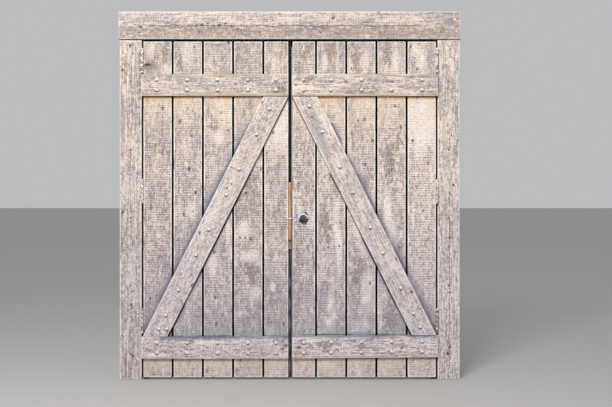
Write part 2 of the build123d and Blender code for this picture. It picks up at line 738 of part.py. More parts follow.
def batten(leaf, corners, bolts):
    """A rail or brace on the planks' face, from its corners as (u, z)."""
    with BuildPart() as piece:
        with BuildSketch(facing(FACE)):
            with BuildLine():
                Polyline(*[(across(leaf, u), z) for u, z in corners], close=True)
            make_face()
        extrude(amount=BATTEN_THICKNESS)
        chamfer(piece.faces().sort_by(Axis.Y)[0].edges(), length=ARRIS)
        with BuildSketch(facing(FACE)):
            with Locations(*bolts):
                Circle(HOLE_RADIUS)
        extrude(amount=BATTEN_THICKNESS, mode=Mode.SUBTRACT)
        with BuildSketch(facing(BATTEN_FRONT)):
            with Locations(*bolts):
                Rectangle(BOLT_DIAMETER + WOOD_HOLE_CLEARANCE, BOLT_DIAMETER + WOOD_HOLE_CLEARANCE)
        extrude(amount=-BOLT_NECK_LENGTH, mode=Mode.SUBTRACT)
    return piece


RAIL_END = RAIL_END_CLEARANCE - SIDE_GAP

for leaf in LEAVES:
    top_corners = [
        (RAIL_END, TOP_RAIL_BOTTOM),
        (leaf.width, TOP_RAIL_BOTTOM),
        (leaf.width, TOP_RAIL_BOTTOM + RAIL_WIDTH),
        (RAIL_END, TOP_RAIL_BOTTOM + RAIL_WIDTH),
    ]
    top_rail = batten(leaf, top_corners, rail_bolts(leaf, TOP_RAIL_BOTTOM, False))
    save(top_rail, f"{leaf.name}_top_rail")

    outer_rise = rail_rise(leaf, RAIL_END)
    bottom_corners = [
        (RAIL_END, BOTTOM_RAIL_BOTTOM + outer_rise),
        (leaf.width, BOTTOM_RAIL_BOTTOM),
        (leaf.width, BOTTOM_RAIL_BOTTOM + RAIL_WIDTH),
        (RAIL_END, BOTTOM_RAIL_BOTTOM + RAIL_WIDTH + outer_rise),
    ]
    bottom_rail = batten(leaf, bottom_corners, rail_bolts(leaf, BOTTOM_RAIL_BOTTOM, True))
    save(bottom_rail, f"{leaf.name}_bottom_rail")

    brace = batten(leaf, brace_corners(leaf), brace_bolts(leaf))
    save(brace, f"{leaf.name}_brace")

# Bolts with their washers and nuts

one_bolt = carriage_bolt()
for leaf in LEAVES:
    points = leaf_bolts(leaf)
    with BuildPart() as bolts:
        with Locations(*[Plane(origin=(x, BATTEN_FRONT, z), z_dir=(0, -1, 0)) for x, z in points]):
            add(one_bolt)
    save(bolts, f"{leaf.name}_carriage_bolts")

    with BuildPart() as washers:
        with BuildSketch(facing(PLANK_BACK + WASHER_THICKNESS)):
            with Locations(*points):
                Circle(WASHER_DIAMETER / 2)
                Circle(BOLT_DIAMETER / 2 + THREAD_CLEARANCE, mode=Mode.SUBTRACT)
        extrude(amount=WASHER_THICKNESS)
    save(washers, f"{leaf.name}_washers")

    with BuildPart() as nuts:
        with BuildSketch(facing(PLANK_BACK + WASHER_THICKNESS + NUT_HEIGHT)):
            with Locations(*points):
                RegularPolygon(NUT_WIDTH / 2, 6, major_radius=False)
                Circle(BOLT_DIAMETER / 2 + THREAD_CLEARANCE, mode=Mode.SUBTRACT)
        extrude(amount=NUT_HEIGHT)
    save(nuts, f"{leaf.name}_nuts")

# Strips at the meeting edge


def meeting_strip(low, high):
    with BuildPart() as strip:
        with BuildSketch(Plane.XY.offset(low)):
            x, width = span(LEFT_MEETING_EDGE, STRIP_EDGE)
            y, depth = span(FACE + MEETING_STRIP_SETBACK, PLANK_BACK)
            with Locations((x, y)):
                Rectangle(width, depth)
        extrude(amount=high - low)
    return strip


STRIKE_STRIP_TOP = LOCK_HEIGHT + STRIKE_STRIP_ABOVE_LOCK
STRIKE_STRIP_BOTTOM = LOCK_HEIGHT - STRIKE_STRIP_BELOW_LOCK
save(meeting_strip(STRIKE_STRIP_TOP, LEAF_TOP), "upper_meeting_strip")
save(meeting_strip(FOOT_GAP, STRIKE_STRIP_BOTTOM), "lower_meeting_strip")

# The strike plate is let in flush with the strip, and its lip turns round the front of the plank

with BuildPart() as strike_blank:
    with BuildSketch(crossing(STRIKE_SEAT)):
        with Locations((LOCK_Y, LOCK_HEIGHT)):
            Rectangle(STRIKE_PLATE_WIDTH, STRIKE_PLATE_HEIGHT)
    extrude(amount=STRIKE_PLATE_THICKNESS)
    with BuildSketch(Plane.XY.offset(LOCK_HEIGHT - STRIKE_LIP_HEIGHT / 2)):
        y, depth = span(FACE - STRIKE_PLATE_THICKNESS, LOCK_Y)
        with Locations((STRIKE_SEAT + STRIKE_PLATE_THICKNESS / 2, y)):
            Rectangle(STRIKE_PLATE_THICKNESS, depth)
        x, width = span(LEFT_MEETING_EDGE - STRIKE_LIP_OVERLAP, STRIP_EDGE)
        with Locations((x, FACE - STRIKE_PLATE_THICKNESS / 2)):
            Rectangle(width, STRIKE_PLATE_THICKNESS)
    extrude(amount=STRIKE_LIP_HEIGHT)
STRIKE_BLANK = strike_blank.part

with BuildPart() as strike_strip:
    with BuildSketch(Plane.XY.offset(STRIKE_STRIP_BOTTOM)):
        x, width = span(LEFT_MEETING_EDGE, STRIP_EDGE)
        y, depth = span(FACE + STRIKE_STRIP_SETBACK, PLANK_BACK)
        with Locations((x, y)):
            Rectangle(width, depth)
    extrude(amount=STRIKE_STRIP_TOP - STRIKE_STRIP_BOTTOM)
    add(STRIKE_BLANK, mode=Mode.SUBTRACT)
    add(MORTISE, mode=Mode.SUBTRACT)
    screw_holes(STRIKE_SCREWS, FITTING_SCREW_DIAMETER, FITTING_SCREW_LENGTH)
save(strike_strip, "strike_strip")

with BuildPart() as strike:
    add(STRIKE_BLANK)
    add(MORTISE, mode=Mode.SUBTRACT)
    countersunk_holes(
        STRIKE_SCREWS, FITTING_SCREW_DIAMETER, FITTING_SCREW_HEAD_DIAMETER, STRIKE_PLATE_THICKNESS
    )
save(strike, "strike_plate")

one_fitting_screw = wood_screw(FITTING_SCREW_DIAMETER, FITTING_SCREW_HEAD_DIAMETER, FITTING_SCREW_LENGTH)
with BuildPart() as fitting_screws:
    with Locations(*STRIKE_SCREWS, *GUIDE_SCREWS):
        add(one_fitting_screw)
save(fitting_screws, "left_fitting_screws")

# Deadlock

COLLAR_FRONT = FACE - COLLAR_HEIGHT
CYLINDER_FRONT = COLLAR_FRONT + CYLINDER_RECESS
CYLINDER_BACK = FACE + CYLINDER_DEPTH
ROSE_BACK = PLANK_BACK + ROSE_HEIGHT
SPINDLE_FRONT = ROSE_BACK - SPINDLE_DEPTH
LOCK_SCREWS = [
    Plane(origin=(LOCK_X, ROSE_BACK, LOCK_HEIGHT + way * LOCK_SCREW_OFFSET), z_dir=(0, 1, 0))
    for way in (-1, 1)
]
LOCK_SCREW_LENGTH = ROSE_BACK - FACE + LOCK_SCREW_BITE

with BuildPart() as collar:
    with BuildSketch(Plane.XY.offset(LOCK_HEIGHT)):
        with BuildLine():
            inner = LOCK_X + CYLINDER_DIAMETER / 2 + CYLINDER_FIT
            outer = LOCK_X + COLLAR_DIAMETER / 2
            front = LOCK_X + COLLAR_FRONT_DIAMETER / 2
            rim = FACE - COLLAR_RIM
            Polyline((front, COLLAR_FRONT), (inner, COLLAR_FRONT), (inner, FACE), (outer, FACE), (outer, rim))
            flank = ((outer + front) / 2 + COLLAR_BULGE, (COLLAR_FRONT + rim) / 2)
            ThreePointArc((outer, rim), flank, (front, COLLAR_FRONT))
        make_face()
    revolve(axis=LOCK_AXIS)
    with Locations(*LOCK_SCREWS):
        Hole(radius=LOCK_SCREW_DIAMETER / 2 + THREAD_CLEARANCE, depth=LOCK_SCREW_LENGTH + THREAD_CLEARANCE)
save(collar, "lock_collar")

with BuildPart() as cylinder:
    with BuildSketch(facing(CYLINDER_BACK)):
        with Locations((LOCK_X, LOCK_HEIGHT)):
            Circle(CYLINDER_DIAMETER / 2)
            Circle(PLUG_DIAMETER / 2 + PLUG_FIT, mode=Mode.SUBTRACT)
    extrude(amount=CYLINDER_BACK - CYLINDER_FRONT)
save(cylinder, "lock_cylinder")

with BuildPart() as plug:
    with BuildSketch(facing(CYLINDER_BACK)):
        with Locations((LOCK_X, LOCK_HEIGHT)):
            Circle(PLUG_DIAMETER / 2)
    extrude(amount=CYLINDER_BACK - CYLINDER_FRONT)
    with BuildSketch(facing(CYLINDER_FRONT)):
        with Locations((LOCK_X, LOCK_HEIGHT)):
            SlotOverall(KEYWAY_HEIGHT, KEYWAY_WIDTH, rotation=90)
    extrude(amount=-KEYWAY_DEPTH, mode=Mode.SUBTRACT)
save(plug, "key_plug")

DEADBOLT_TAIL = LOCK_X - DEADBOLT_TAIL_GAP
bolt_room = deadbolt_bar(RIGHT_MEETING_EDGE, DEADBOLT_TAIL + DEADBOLT_CLEARANCE, DEADBOLT_CLEARANCE).part

with BuildPart() as case:
    with BuildSketch(crossing(RIGHT_MEETING_EDGE)):
        with Locations((LOCK_Y, LOCK_HEIGHT)):
            RectangleRounded(FACE_PLATE_WIDTH, FACE_PLATE_HEIGHT, FACE_PLATE_CORNER)
    extrude(amount=FACE_PLATE_THICKNESS)
    with BuildSketch(crossing(RIGHT_MEETING_EDGE)):
        with Locations((LOCK_Y, LOCK_HEIGHT)):
            Circle(CASE_DIAMETER / 2)
    extrude(amount=BACKSET + CASE_TAIL)
    add(bolt_room, mode=Mode.SUBTRACT)
    with BuildSketch(facing(PLANK_BACK)):
        with Locations((LOCK_X, LOCK_HEIGHT)):
            Circle(TAILPIECE_HOLE_DIAMETER / 2)
    extrude(amount=PLANK_THICKNESS, mode=Mode.SUBTRACT)
save(case, "bolt_case")

save(deadbolt_bar(RIGHT_MEETING_EDGE - DEADBOLT_NOSE, DEADBOLT_TAIL, 0), "deadbolt")

with BuildPart() as tailpiece:
    with BuildSketch(facing(SPINDLE_FRONT)):
        with Locations((LOCK_X, LOCK_HEIGHT)):
            Rectangle(TAILPIECE_THICKNESS, TAILPIECE_WIDTH)
    extrude(amount=SPINDLE_FRONT - CYLINDER_BACK - TAILPIECE_PLAY)
save(tailpiece, "tailpiece")

with BuildPart() as rose:
    with BuildSketch(facing(ROSE_BACK)):
        with Locations((LOCK_X, LOCK_HEIGHT)):
            Circle(ROSE_DIAMETER / 2)
    extrude(amount=ROSE_HEIGHT)
    fillet(rose.faces().sort_by(Axis.Y)[-1].edges(), radius=ROSE_CORNER)
    with BuildSketch(facing(ROSE_BACK)):
        with Locations((LOCK_X, LOCK_HEIGHT)):
            Circle(SPINDLE_DIAMETER / 2 + SPINDLE_FIT)
    extrude(amount=ROSE_HEIGHT, mode=Mode.SUBTRACT)
    countersunk_holes(LOCK_SCREWS, LOCK_SCREW_DIAMETER, LOCK_SCREW_HEAD_DIAMETER, ROSE_HEIGHT)
save(rose, "inside_rose")

with BuildPart() as turn:
    with BuildSketch(facing(SPINDLE_FRONT)):
        with Locations((LOCK_X, LOCK_HEIGHT)):
            Circle(SPINDLE_DIAMETER / 2)
    extrude(amount=-SPINDLE_DEPTH - TURN_DISC_GAP - TURN_DISC_HEIGHT)
    disc_front = ROSE_BACK + TURN_DISC_GAP
    with BuildSketch(facing(disc_front)):
        with Locations((LOCK_X, LOCK_HEIGHT)):
            Circle(TURN_DISC_DIAMETER / 2)
    extrude(amount=-TURN_DISC_HEIGHT)
    with BuildSketch(facing(disc_front + TURN_DISC_HEIGHT)):
        with Locations((LOCK_X, LOCK_HEIGHT)):
            RectangleRounded(TURN_WIDTH, TURN_HEIGHT, TURN_CORNER)
    extrude(amount=-TURN_REACH)
    fillet(turn.faces().sort_by(Axis.Y)[-1].edges(), radius=TURN_CORNER / 2)
save(turn, "thumb_turn")

with BuildPart() as lock_screws:
    with Locations(*LOCK_SCREWS):
        add(wood_screw(LOCK_SCREW_DIAMETER, LOCK_SCREW_HEAD_DIAMETER, LOCK_SCREW_LENGTH))
save(lock_screws, "lock_mounting_screws")

# Head and foot bolts of the left leaf


def rod(end, away):
    """A sliding rod that ends at end and reaches away from there, with its knob."""
    with BuildPart() as piece:
        with BuildSketch(Plane.XY.offset(end)):
            with Locations((ROD_X, ROD_Y)):
                Circle(ROD_DIAMETER / 2)
        extrude(amount=away * ROD_LENGTH)
        chamfer(piece.edges().filter_by(GeomType.CIRCLE), length=ROD_CHAMFER)
        with BuildSketch(facing(ROD_Y)):
            with Locations((ROD_X, guide_middle(end, away) + away * ROD_THROW / 2)):
                Circle(KNOB_DIAMETER / 2)
        extrude(amount=-ROD_DIAMETER / 2 - KNOB_REACH)
    return piece


def guide(end, away):
    """The plate on the planks' back, with two staples that the rod runs through."""
    middle = guide_middle(end, away)
    crown = ROD_Y + ROD_DIAMETER / 2 + ROD_CLEARANCE + STAPLE_WALL
    with BuildPart() as piece:
        with BuildSketch(facing(PLANK_BACK)):
            with Locations((ROD_X, middle)):
                Rectangle(GUIDE_WIDTH, GUIDE_LENGTH)
        extrude(amount=-GUIDE_THICKNESS)
        for way in (-1, 1):
            foot = middle + way * (GUIDE_LENGTH - STAPLE_LENGTH) / 2 - STAPLE_LENGTH / 2
            with BuildSketch(Plane.XY.offset(foot)):
                y, depth = span(PLANK_BACK, crown)
                with Locations((ROD_X, y)):
                    Rectangle(STAPLE_WIDTH, depth)
            extrude(amount=STAPLE_LENGTH)
        corners = piece.edges().filter_by(Axis.Z).group_by(Axis.Y)[-1]
        fillet(corners, radius=STAPLE_WALL)
        with BuildSketch(Plane.XY.offset(middle - GUIDE_LENGTH / 2)):
            with Locations((ROD_X, ROD_Y)):
                Circle(ROD_DIAMETER / 2 + ROD_CLEARANCE)
        extrude(amount=GUIDE_LENGTH, mode=Mode.SUBTRACT)
        countersunk_holes(
            guide_screws(end, away), FITTING_SCREW_DIAMETER, FITTING_SCREW_HEAD_DIAMETER, GUIDE_THICKNESS
        )
    return piece


save(rod(HEAD_ROD_END, -1), "head_bolt")
save(guide(HEAD_ROD_END, -1), "head_bolt_guide")
save(rod(FOOT_ROD_END, 1), "foot_bolt")
save(guide(FOOT_ROD_END, 1), "foot_bolt_guide")
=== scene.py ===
"""Looks of a whitewashed double barn door in its frame: worn boards, painted ironwork and a plain studio."""

import logging
import math
from dataclasses import dataclass, replace
from enum import Enum

import bmesh
import bpy
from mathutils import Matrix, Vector, kdtree, noise


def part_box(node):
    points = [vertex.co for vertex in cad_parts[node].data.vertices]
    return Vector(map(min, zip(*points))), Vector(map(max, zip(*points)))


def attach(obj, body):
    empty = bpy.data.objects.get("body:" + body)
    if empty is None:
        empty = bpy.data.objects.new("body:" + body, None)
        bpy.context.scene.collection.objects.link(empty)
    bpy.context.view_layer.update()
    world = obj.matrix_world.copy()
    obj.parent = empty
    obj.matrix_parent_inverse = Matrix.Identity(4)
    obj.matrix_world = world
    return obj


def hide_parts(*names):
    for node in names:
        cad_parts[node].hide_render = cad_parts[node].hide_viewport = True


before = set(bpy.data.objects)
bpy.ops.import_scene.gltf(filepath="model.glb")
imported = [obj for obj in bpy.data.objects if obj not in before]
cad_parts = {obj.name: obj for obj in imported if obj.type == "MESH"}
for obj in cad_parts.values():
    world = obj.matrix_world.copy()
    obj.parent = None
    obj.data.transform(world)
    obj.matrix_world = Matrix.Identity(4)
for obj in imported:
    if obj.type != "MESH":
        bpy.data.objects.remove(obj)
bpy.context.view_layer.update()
MM = 0.001
LOG = logging.getLogger("barn_door")

Colour = tuple[float, float, float, float]
Place = tuple[float, float, float]
Socket = bpy.types.NodeSocket
Tree = bpy.types.NodeTree
Mesh = bmesh.types.BMesh
Value = float | tuple | Socket

UPRIGHT, LEVEL = Vector((0.0, 0.0, 1.0)), Vector((1.0, 0.0, 0.0))
UP, DOWN, RIGHT = (0.0, 0.0, 1.0), (0.0, 0.0, -1.0), (1.0, 0.0, 0.0)
SHARP_ANGLE = math.radians(38)
MERGE = 1e-6


def linear(hex_colour: str, lightness: float = 1.0) -> Colour:
    """Turns an sRGB hex colour to linear light.

    Args:
        hex_colour: The colour as "#rrggbb".
        lightness: A factor on the linear colour.

    Returns:
        The linear colour with an alpha of 1.
    """
    parts = [int(hex_colour[i:i + 2], 16) / 255 for i in (1, 3, 5)]
    light = [p / 12.92 if p <= 0.04045 else ((p + 0.055) / 1.055) ** 2.4 for p in parts]
    return (*(min(1.0, p * lightness) for p in light), 1.0)


def add(tree: Tree, kind: str, inputs: dict | None = None, out: int = 0, **settings) -> Socket | None:
    """Adds a shader node with its settings and links.

    Args:
        tree: The node tree.
        kind: The node's type, without the "ShaderNode" in front.
        inputs: What goes into each socket, by name or number: a value or another node's output.
        out: The number of the output that is handed back.
        settings: The node's own settings.

    Returns:
        The chosen output socket, or None for a node that ends the tree.
    """
    made = tree.nodes.new("ShaderNode" + kind)
    for name, value in settings.items():
        setattr(made, name, value)
    for key, value in (inputs or {}).items():
        if isinstance(value, bpy.types.NodeSocket):
            tree.links.new(value, made.inputs[key])
        else:
            made.inputs[key].default_value = value
    return made.outputs[out] if made.outputs else None


@dataclass(frozen=True)
class Cloud:
    """A cloudy pattern with a real size.

    size is how long, deep and wide one cloud is, in millimetres, detail how many finer layers it has and
    rough how strong they are. seed moves it, so that no two patterns match.
    """
    size: Place
    seed: float = 0.0
    detail: float = 3.0
    rough: float = 0.55

    SEED_STEP = (3.17, 1.31, 7.73)

    def paint(self, place: Socket, seed: float = 0.0) -> Socket:
        """Adds the pattern.

        Args:
            place: The place, in millimetres. On a board it is along, through and across.
            seed: Moves the pattern further, so that no two boards match.

        Returns:
            A value round 0.5.
        """
        tree = place.id_data
        scaled = add(tree, "Mapping", {"Vector": place, "Scale": tuple(1 / s for s in self.size),
                                       "Location": tuple((self.seed + seed) * s for s in self.SEED_STEP)})
        return add(tree, "TexNoise", {"Vector": scaled, "Scale": 1.0, "Detail": self.detail,
                                      "Roughness": self.rough})


def coat(base: Value, over: Value, amount: Socket, low: float, high: float,
         strength: float = 1.0) -> Socket:
    """Lays a colour over another one wherever a value is high.

    Args:
        base: The lower colour.
        over: The upper colour.
        amount: The value that is read.
        low: At this value nothing of the upper colour shows. It may be the greater of the two.
        high: From this value on the upper colour shows.
        strength: How much of it shows there.

    Returns:
        The joined colour.
    """
    tree = amount.id_data
    share = add(tree, "MapRange", {"Value": amount, "From Min": low, "From Max": high, "To Max": strength},
                interpolation_type="SMOOTHSTEP")
    return add(tree, "Mix", {0: share, 6: base, 7: over}, out=2, data_type="RGBA")


def weighed(first: Socket, *terms: tuple[Socket, float]) -> Socket:
    """Adds weighted values to a first one.

    Args:
        first: The value to start from.
        terms: Pairs of a value and its weight.

    Returns:
        The sum.
    """
    total = first
    for value, weight in terms:
        total = add(first.id_data, "Math", {0: value, 1: weight, 2: total}, operation="MULTIPLY_ADD")
    return total


def product(first: Socket, *factors: Socket) -> Socket:
    """Multiplies values, so that the result is high only where all of them are.

    Args:
        first: The first value.
        factors: The others.

    Returns:
        The product.
    """
    total = first
    for factor in factors:
        total = add(first.id_data, "Math", {0: total, 1: factor}, operation="MULTIPLY")
    return total


def new_material(name: str) -> tuple[bpy.types.Material, Tree, Socket]:
    """Makes an empty material.

    Args:
        name: The material's name.

    Returns:
        The material, its node tree and the place in metres.
    """
    material = bpy.data.materials.new(name)
    material.use_nodes = True
    material.node_tree.nodes.clear()
    return material, material.node_tree, add(material.node_tree, "TexCoord", out=3)


def close_material(tree: Tree, inputs: dict) -> None:
    """Ends a material with its surface, which has the given inputs."""
    add(tree, "OutputMaterial", {"Surface": add(tree, "BsdfPrincipled", inputs)})


def in_millimetres(here: Socket) -> Socket:
    """Turns a place in metres to millimetres."""
    return add(here.id_data, "Mapping", {"Vector": here, "Scale": (1 / MM,) * 3})


def new_object(mesh: Mesh, name: str) -> bpy.types.Object:
    """Makes an object of a mesh and puts it into the scene.

    Args:
        mesh: The mesh, which is used up.
        name: The object's name.

    Returns:
        The object.
    """
    data = bpy.data.meshes.new(name)
    mesh.to_mesh(data)
    mesh.free()
    made = bpy.data.objects.new(name, data)
    bpy.context.scene.collection.objects.link(made)
    return made


def merged(node: str) -> Mesh:
    """Copies the mesh of a node of the CAD model and joins its points.

    Args:
        node: The node's name.

    Returns:
        The copy.
    """
    mesh = bmesh.new()
    mesh.from_mesh(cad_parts[node].data)
    bmesh.ops.remove_doubles(mesh, verts=mesh.verts, dist=MERGE)
    return mesh


def stand_in(made: bpy.types.Object, body: str, node: str, material: bpy.types.Material) -> None:
    """Puts a new object in the place of a node of the CAD model.

    Args:
        made: The object.
        body: The body it moves with.
        node: The node it stands for.
        material: Its material.
    """
    made.data.shade_smooth()
    made.data.set_sharp_from_angle(angle=SHARP_ANGLE)
    made.data.materials.append(material)
    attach(made, body)
    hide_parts(node)
    LOG.info("%s", made.name)


@dataclass(frozen=True)
class Stain:
    """A band of another colour that starts at a line and fades away from it.

    The line is where a place in metres, taken along direction, equals start, and the band lies between
    the levels low and high. patchy is the width of its clouds, in millimetres.
    """
    colour: str
    direction: Place
    start: float
    width: float
    strength: float
    patchy: float = 60.0
    low: float = -1.0
    high: float = 4.0


@dataclass(frozen=True)
class Blot:
    """A round or long spot of another colour, such as a knot, with its centre and half sizes in millimetres.

    along and across are measured from the middle of the board.
    """
    colour: str
    along: float
    across: float
    length: float
    width: float
    strength: float = 0.8
    ragged: float = 0.35


@dataclass(frozen=True)
class Patch:
    """A place where more of the wash is left, or less where cover is below 0, in millimetres as a Blot."""
    along: float
    across: float
    length: float
    width: float
    cover: float = 0.35


Mark = Blot | Patch
# The cover of a patch where the wash has worn thin.
THIN = -0.2


def knot(along: float, across: float, size: float) -> tuple[Blot, Blot]:
    """A knot is a dark core in a browner ring.

    Args:
        along: Its place along the board, in millimetres from the middle.
        across: Its place across the board.
        size: Its half width.

    Returns:
        The ring and the core.
    """
    return (Blot("#8d7467", along, across, size * 1.5, size, 0.65, 0.25),
            Blot("#4d3b34", along, across, size * 0.75, size * 0.5, 0.85, 0.2))


@dataclass(frozen=True)
class Ground:
    """What the layers of one board's material share.

    here is the place in metres, local the place in millimetres along, through and across the board, and
    front says how far the board's face is in front of its middle. grain, saw and flakes are the patterns of
    its grain lines, saw marks and small flakes. edge says how near its long edges are, and in_front is 1 on
    its front half and 0 behind.
    """
    tree: Tree
    here: Socket
    local: Socket
    front: float
    grain: Socket
    saw: Socket
    flakes: Socket
    edge: Socket
    in_front: Socket


@dataclass(frozen=True)
class WeatheredWood:
    """Rough-sawn softwood under worn limewash.

    Its saw marks run across the board and its grain along it, the wash stays in patches and in the saw
    marks, and the bare wood has gone grey-brown. It looks dry and has no shine. A gap is a stretch through
    the board, in millimetres, where painted shade makes it as dark as the depths between two boards.
    """
    name: str
    wash: str = "#ebdcd2"
    wash_grey: str = "#dbcfca"
    # The low colours are painted shade, cooler and darker, that takes over low down.
    wash_low_shade: str = "#d9cfd3"
    bare: str = "#a08b7c"
    bare_grey: str = "#8d8281"
    bare_low_shade: str = "#8d8087"
    # The pale colour of the arrises, which is partly paint left on the edges and partly a painted highlight.
    edge: str = "#f3eeea"
    line: str = "#776251"
    flake: str = "#f5eadf"
    lightness: float = 1.0
    cover: float = 0.5
    warmth: float = 0.5
    sawn: float = 1.0
    grained: float = 1.0
    contrast: float = 1.0
    pale_edge_highlight: float = 0.9
    seed: float = 0.0
    # Painted shade for the depths of a gap, and the stretch through the board where it lies.
    gap_shade_colour: str = "#080505"
    gap: tuple[float, float] | None = None
    stains: tuple[Stain, ...] = ()
    marks: tuple[Mark, ...] = ()

    CREAM, OCHRE = "#ebe0d7", "#b48f6e"
    # Pits are small dark spots; the second colour is painted shade on the floors of cracks.
    PIT, GROOVE = "#55443c", "#2b2120"
    KNOT_RING, KNOT_CORE = "#8f7a6e", "#463630"
    # Grain lines are 1 to 2 mm wide in the wood and are drawn about 5 mm wide, so that they show.
    GRAIN = Cloud((150, 30, 5.0), 0, 3, 0.62)
    FLAKES = Cloud((30, 20, 17), 23, 6, 0.78)
    PITS = Cloud((20, 12, 4.2), 61, 2, 0.5)
    FLECKS = Cloud((9, 12, 5.5), 107, 3, 0.7)
    CLEAN = Cloud((70, 60, 30), 51, 3)
    BROAD = Cloud((260, 90, 75), 37, 5, 0.6)
    OCHRE_STREAKS = Cloud((260, 12, 3.2), 97, 2, 0.5)
    SAWN_PLACES = Cloud((130, 60, 80), 5, 2)
    RAGGED = Cloud((24, 16, 9), 83, 6, 0.85)
    # Saw marks are 3 to 5 mm apart in the wood and are drawn about 15 mm apart, so that they show.
    SAW_PITCH = 15.0
    SAW_REACH = 400.0
    # A Wave texture repeats after this much of its own scale.
    WAVE = 0.314
    # Each coat starts at the first level of its pattern, is full at the second and as strong as the third.
    FLAKE_COAT = (0.55, 0.64, 0.8)
    LINE_COAT = (0.42, 0.34, 0.75)
    PIT_COAT = (0.62, 0.71, 0.85)
    ARRIS_HIGHLIGHT_COAT = (0.25, 0.33)
    RING_COAT = (0.25, 0.20, 0.6)
    CORE_COAT = (0.205, 0.185, 0.85)
    # The low shade coat is painted shade.
    LOW_SHADE_COAT = (1.75, 0.35, 0.8)
    CREAM_COAT = (0.75, 1.3, 0.7)
    OCHRE_COAT = (0.62, 0.72, 0.5)
    SAW_COAT = (0.35, 0.05)
    # The gap edge coat paints shade along the edges in front of a gap.
    GAP_EDGE_SHADE_COAT = (0.94, 0.99)
    # How much each pattern counts for where the wash is left.
    SAW_WEIGHT = 0.13
    GRAIN_WEIGHT = 0.12
    BROAD_WEIGHT = 0.28
    COVER_RANGE = 0.3
    COVER_EDGE = 0.145
    # Marks: how deep and soft they are, how ragged, and between which distances a patch ends.
    BLOT_DEPTH = 30.0
    BLOT_FADE = 3.5
    BLOT_RAGGED = 5.0
    PATCH_RAGGED = 6.0
    PATCH_RIM = (4.15, 3.65)
    KNOT_CELL = (150.0, 95.0)
    STAIN_UNDERLAP = 4 * MM

    def ground(self, tree: Tree, here: Socket, board: "Board") -> Ground:
        """Works out the place on the board and the patterns that several layers share.

        Args:
            tree: The node tree.
            here: The place, in metres.
            board: The board.

        Returns:
            What the layers share.
        """
        centre, along = board.centre, board.along
        local = add(tree, "Mapping", {
            "Vector": here, "Scale": (1 / MM,) * 3, "Rotation": (0.0, math.atan2(along.z, along.x), 0.0),
            "Location": (-centre.dot(along) / MM, -centre.y / MM, -centre.dot(board.across) / MM)})
        lanes = add(tree, "Mapping", {
            "Vector": local, "Location": (self.seed, 0.0, self.seed),
            "Scale": (self.WAVE / self.SAW_PITCH, 0.01, self.WAVE / self.SAW_REACH)})
        saw = add(tree, "TexWave", {"Vector": lanes, "Scale": 1.0, "Distortion": 3.2, "Detail": 3.0,
                                    "Detail Scale": 1.6, "Detail Roughness": 0.65},
                  out=1, bands_direction="X")
        through = add(tree, "SeparateXYZ", {0: local}, out=1)
        return Ground(tree, here, local, (centre.y - board.front) / MM,
                      self.GRAIN.paint(local, self.seed), saw, self.FLAKES.paint(local, self.seed),
                      add(tree, "Attribute", attribute_name="wear", out=2),
                      add(tree, "Math", {0: through, 1: 0.0}, operation="LESS_THAN"))

    def build(self, board: "Board") -> bpy.types.Material:
        """Makes the material for one board.

        Args:
            board: The board.

        Returns:
            The material.
        """
        material, tree, here = new_material(self.name)
        ground = self.ground(tree, here, board)
        pits, flecks, clean = (cloud.paint(ground.local, self.seed)
                               for cloud in (self.PITS, self.FLECKS, self.CLEAN))
        colour = self.limewash(ground)
        colour = coat(colour, linear(self.flake, self.lightness), flecks, *self.FLAKE_COAT)
        colour = coat(colour, linear(self.line), flecks, *self.LINE_COAT)
        colour = coat(colour, linear(self.PIT), pits, *self.PIT_COAT)
        colour = self.small_knots(ground, colour)
        # Pale arrises: paint left on the edges and a painted highlight.
        arris = product(ground.edge, clean, ground.in_front)
        colour = coat(colour, linear(self.edge), arris, *self.ARRIS_HIGHLIGHT_COAT, self.pale_edge_highlight)
        colour = self.stained(ground, colour)
        colour = self.blotted(ground, colour)
        colour = self.painted_depth_shade(ground, colour)
        height = weighed(ground.grain, (ground.saw, 0.5 * self.sawn), (ground.flakes, 0.6), (pits, -0.6))
        bump = add(tree, "Bump", {"Height": height, "Strength": 0.8, "Distance": 1.4 * MM})
        close_material(tree, {"Base Color": colour, "Roughness": 0.9, "IOR": 1.5,
                              "Specular IOR Level": 0.25, "Normal": bump})
        return material

    def away(self, ground: Ground, mark: Mark) -> Socket:
        """Works out how far a place is from the middle of a mark, which is 1 at the mark's rim.

        Args:
            ground: What the layers share.
            mark: The mark.

        Returns:
            The distance.
        """
        depth = self.BLOT_DEPTH
        scaled = add(ground.tree, "Mapping", {
            "Vector": ground.local, "Scale": (1 / mark.length, 1 / depth, 1 / mark.width),
            "Location": (-mark.along / mark.length, ground.front / depth, -mark.across / mark.width)})
        return add(ground.tree, "VectorMath", {0: scaled}, out=1, operation="LENGTH")

    def small_knots(self, ground: Ground, colour: Socket) -> Socket:
        """Scatters small dark knots, of which most boards have a few.

        Args:
            ground: What the layers share.
            colour: The colour so far.

        Returns:
            The colour with them.
        """
        tree = ground.tree
        flat = add(tree, "CombineXYZ", {0: add(tree, "SeparateXYZ", {0: ground.local}),
                                        1: add(tree, "SeparateXYZ", {0: ground.local}, out=2)})
        cells = add(tree, "Mapping", {"Vector": flat, "Location": (self.seed * 2.3, self.seed * 5.1, 0.0),
                                      "Scale": (1 / self.KNOT_CELL[0], 1 / self.KNOT_CELL[1], 1.0)})
        away = add(tree, "TexVoronoi", {"Vector": cells, "Scale": 1.0}, voronoi_dimensions="2D")
        chance = add(tree, "SeparateXYZ", {0: away.node.outputs["Color"]})
        rim = weighed(away, (chance, 0.26), (ground.flakes, 0.22))
        colour = coat(colour, linear(self.KNOT_RING), rim, *self.RING_COAT)
        return coat(colour, linear(self.KNOT_CORE), rim, *self.CORE_COAT)

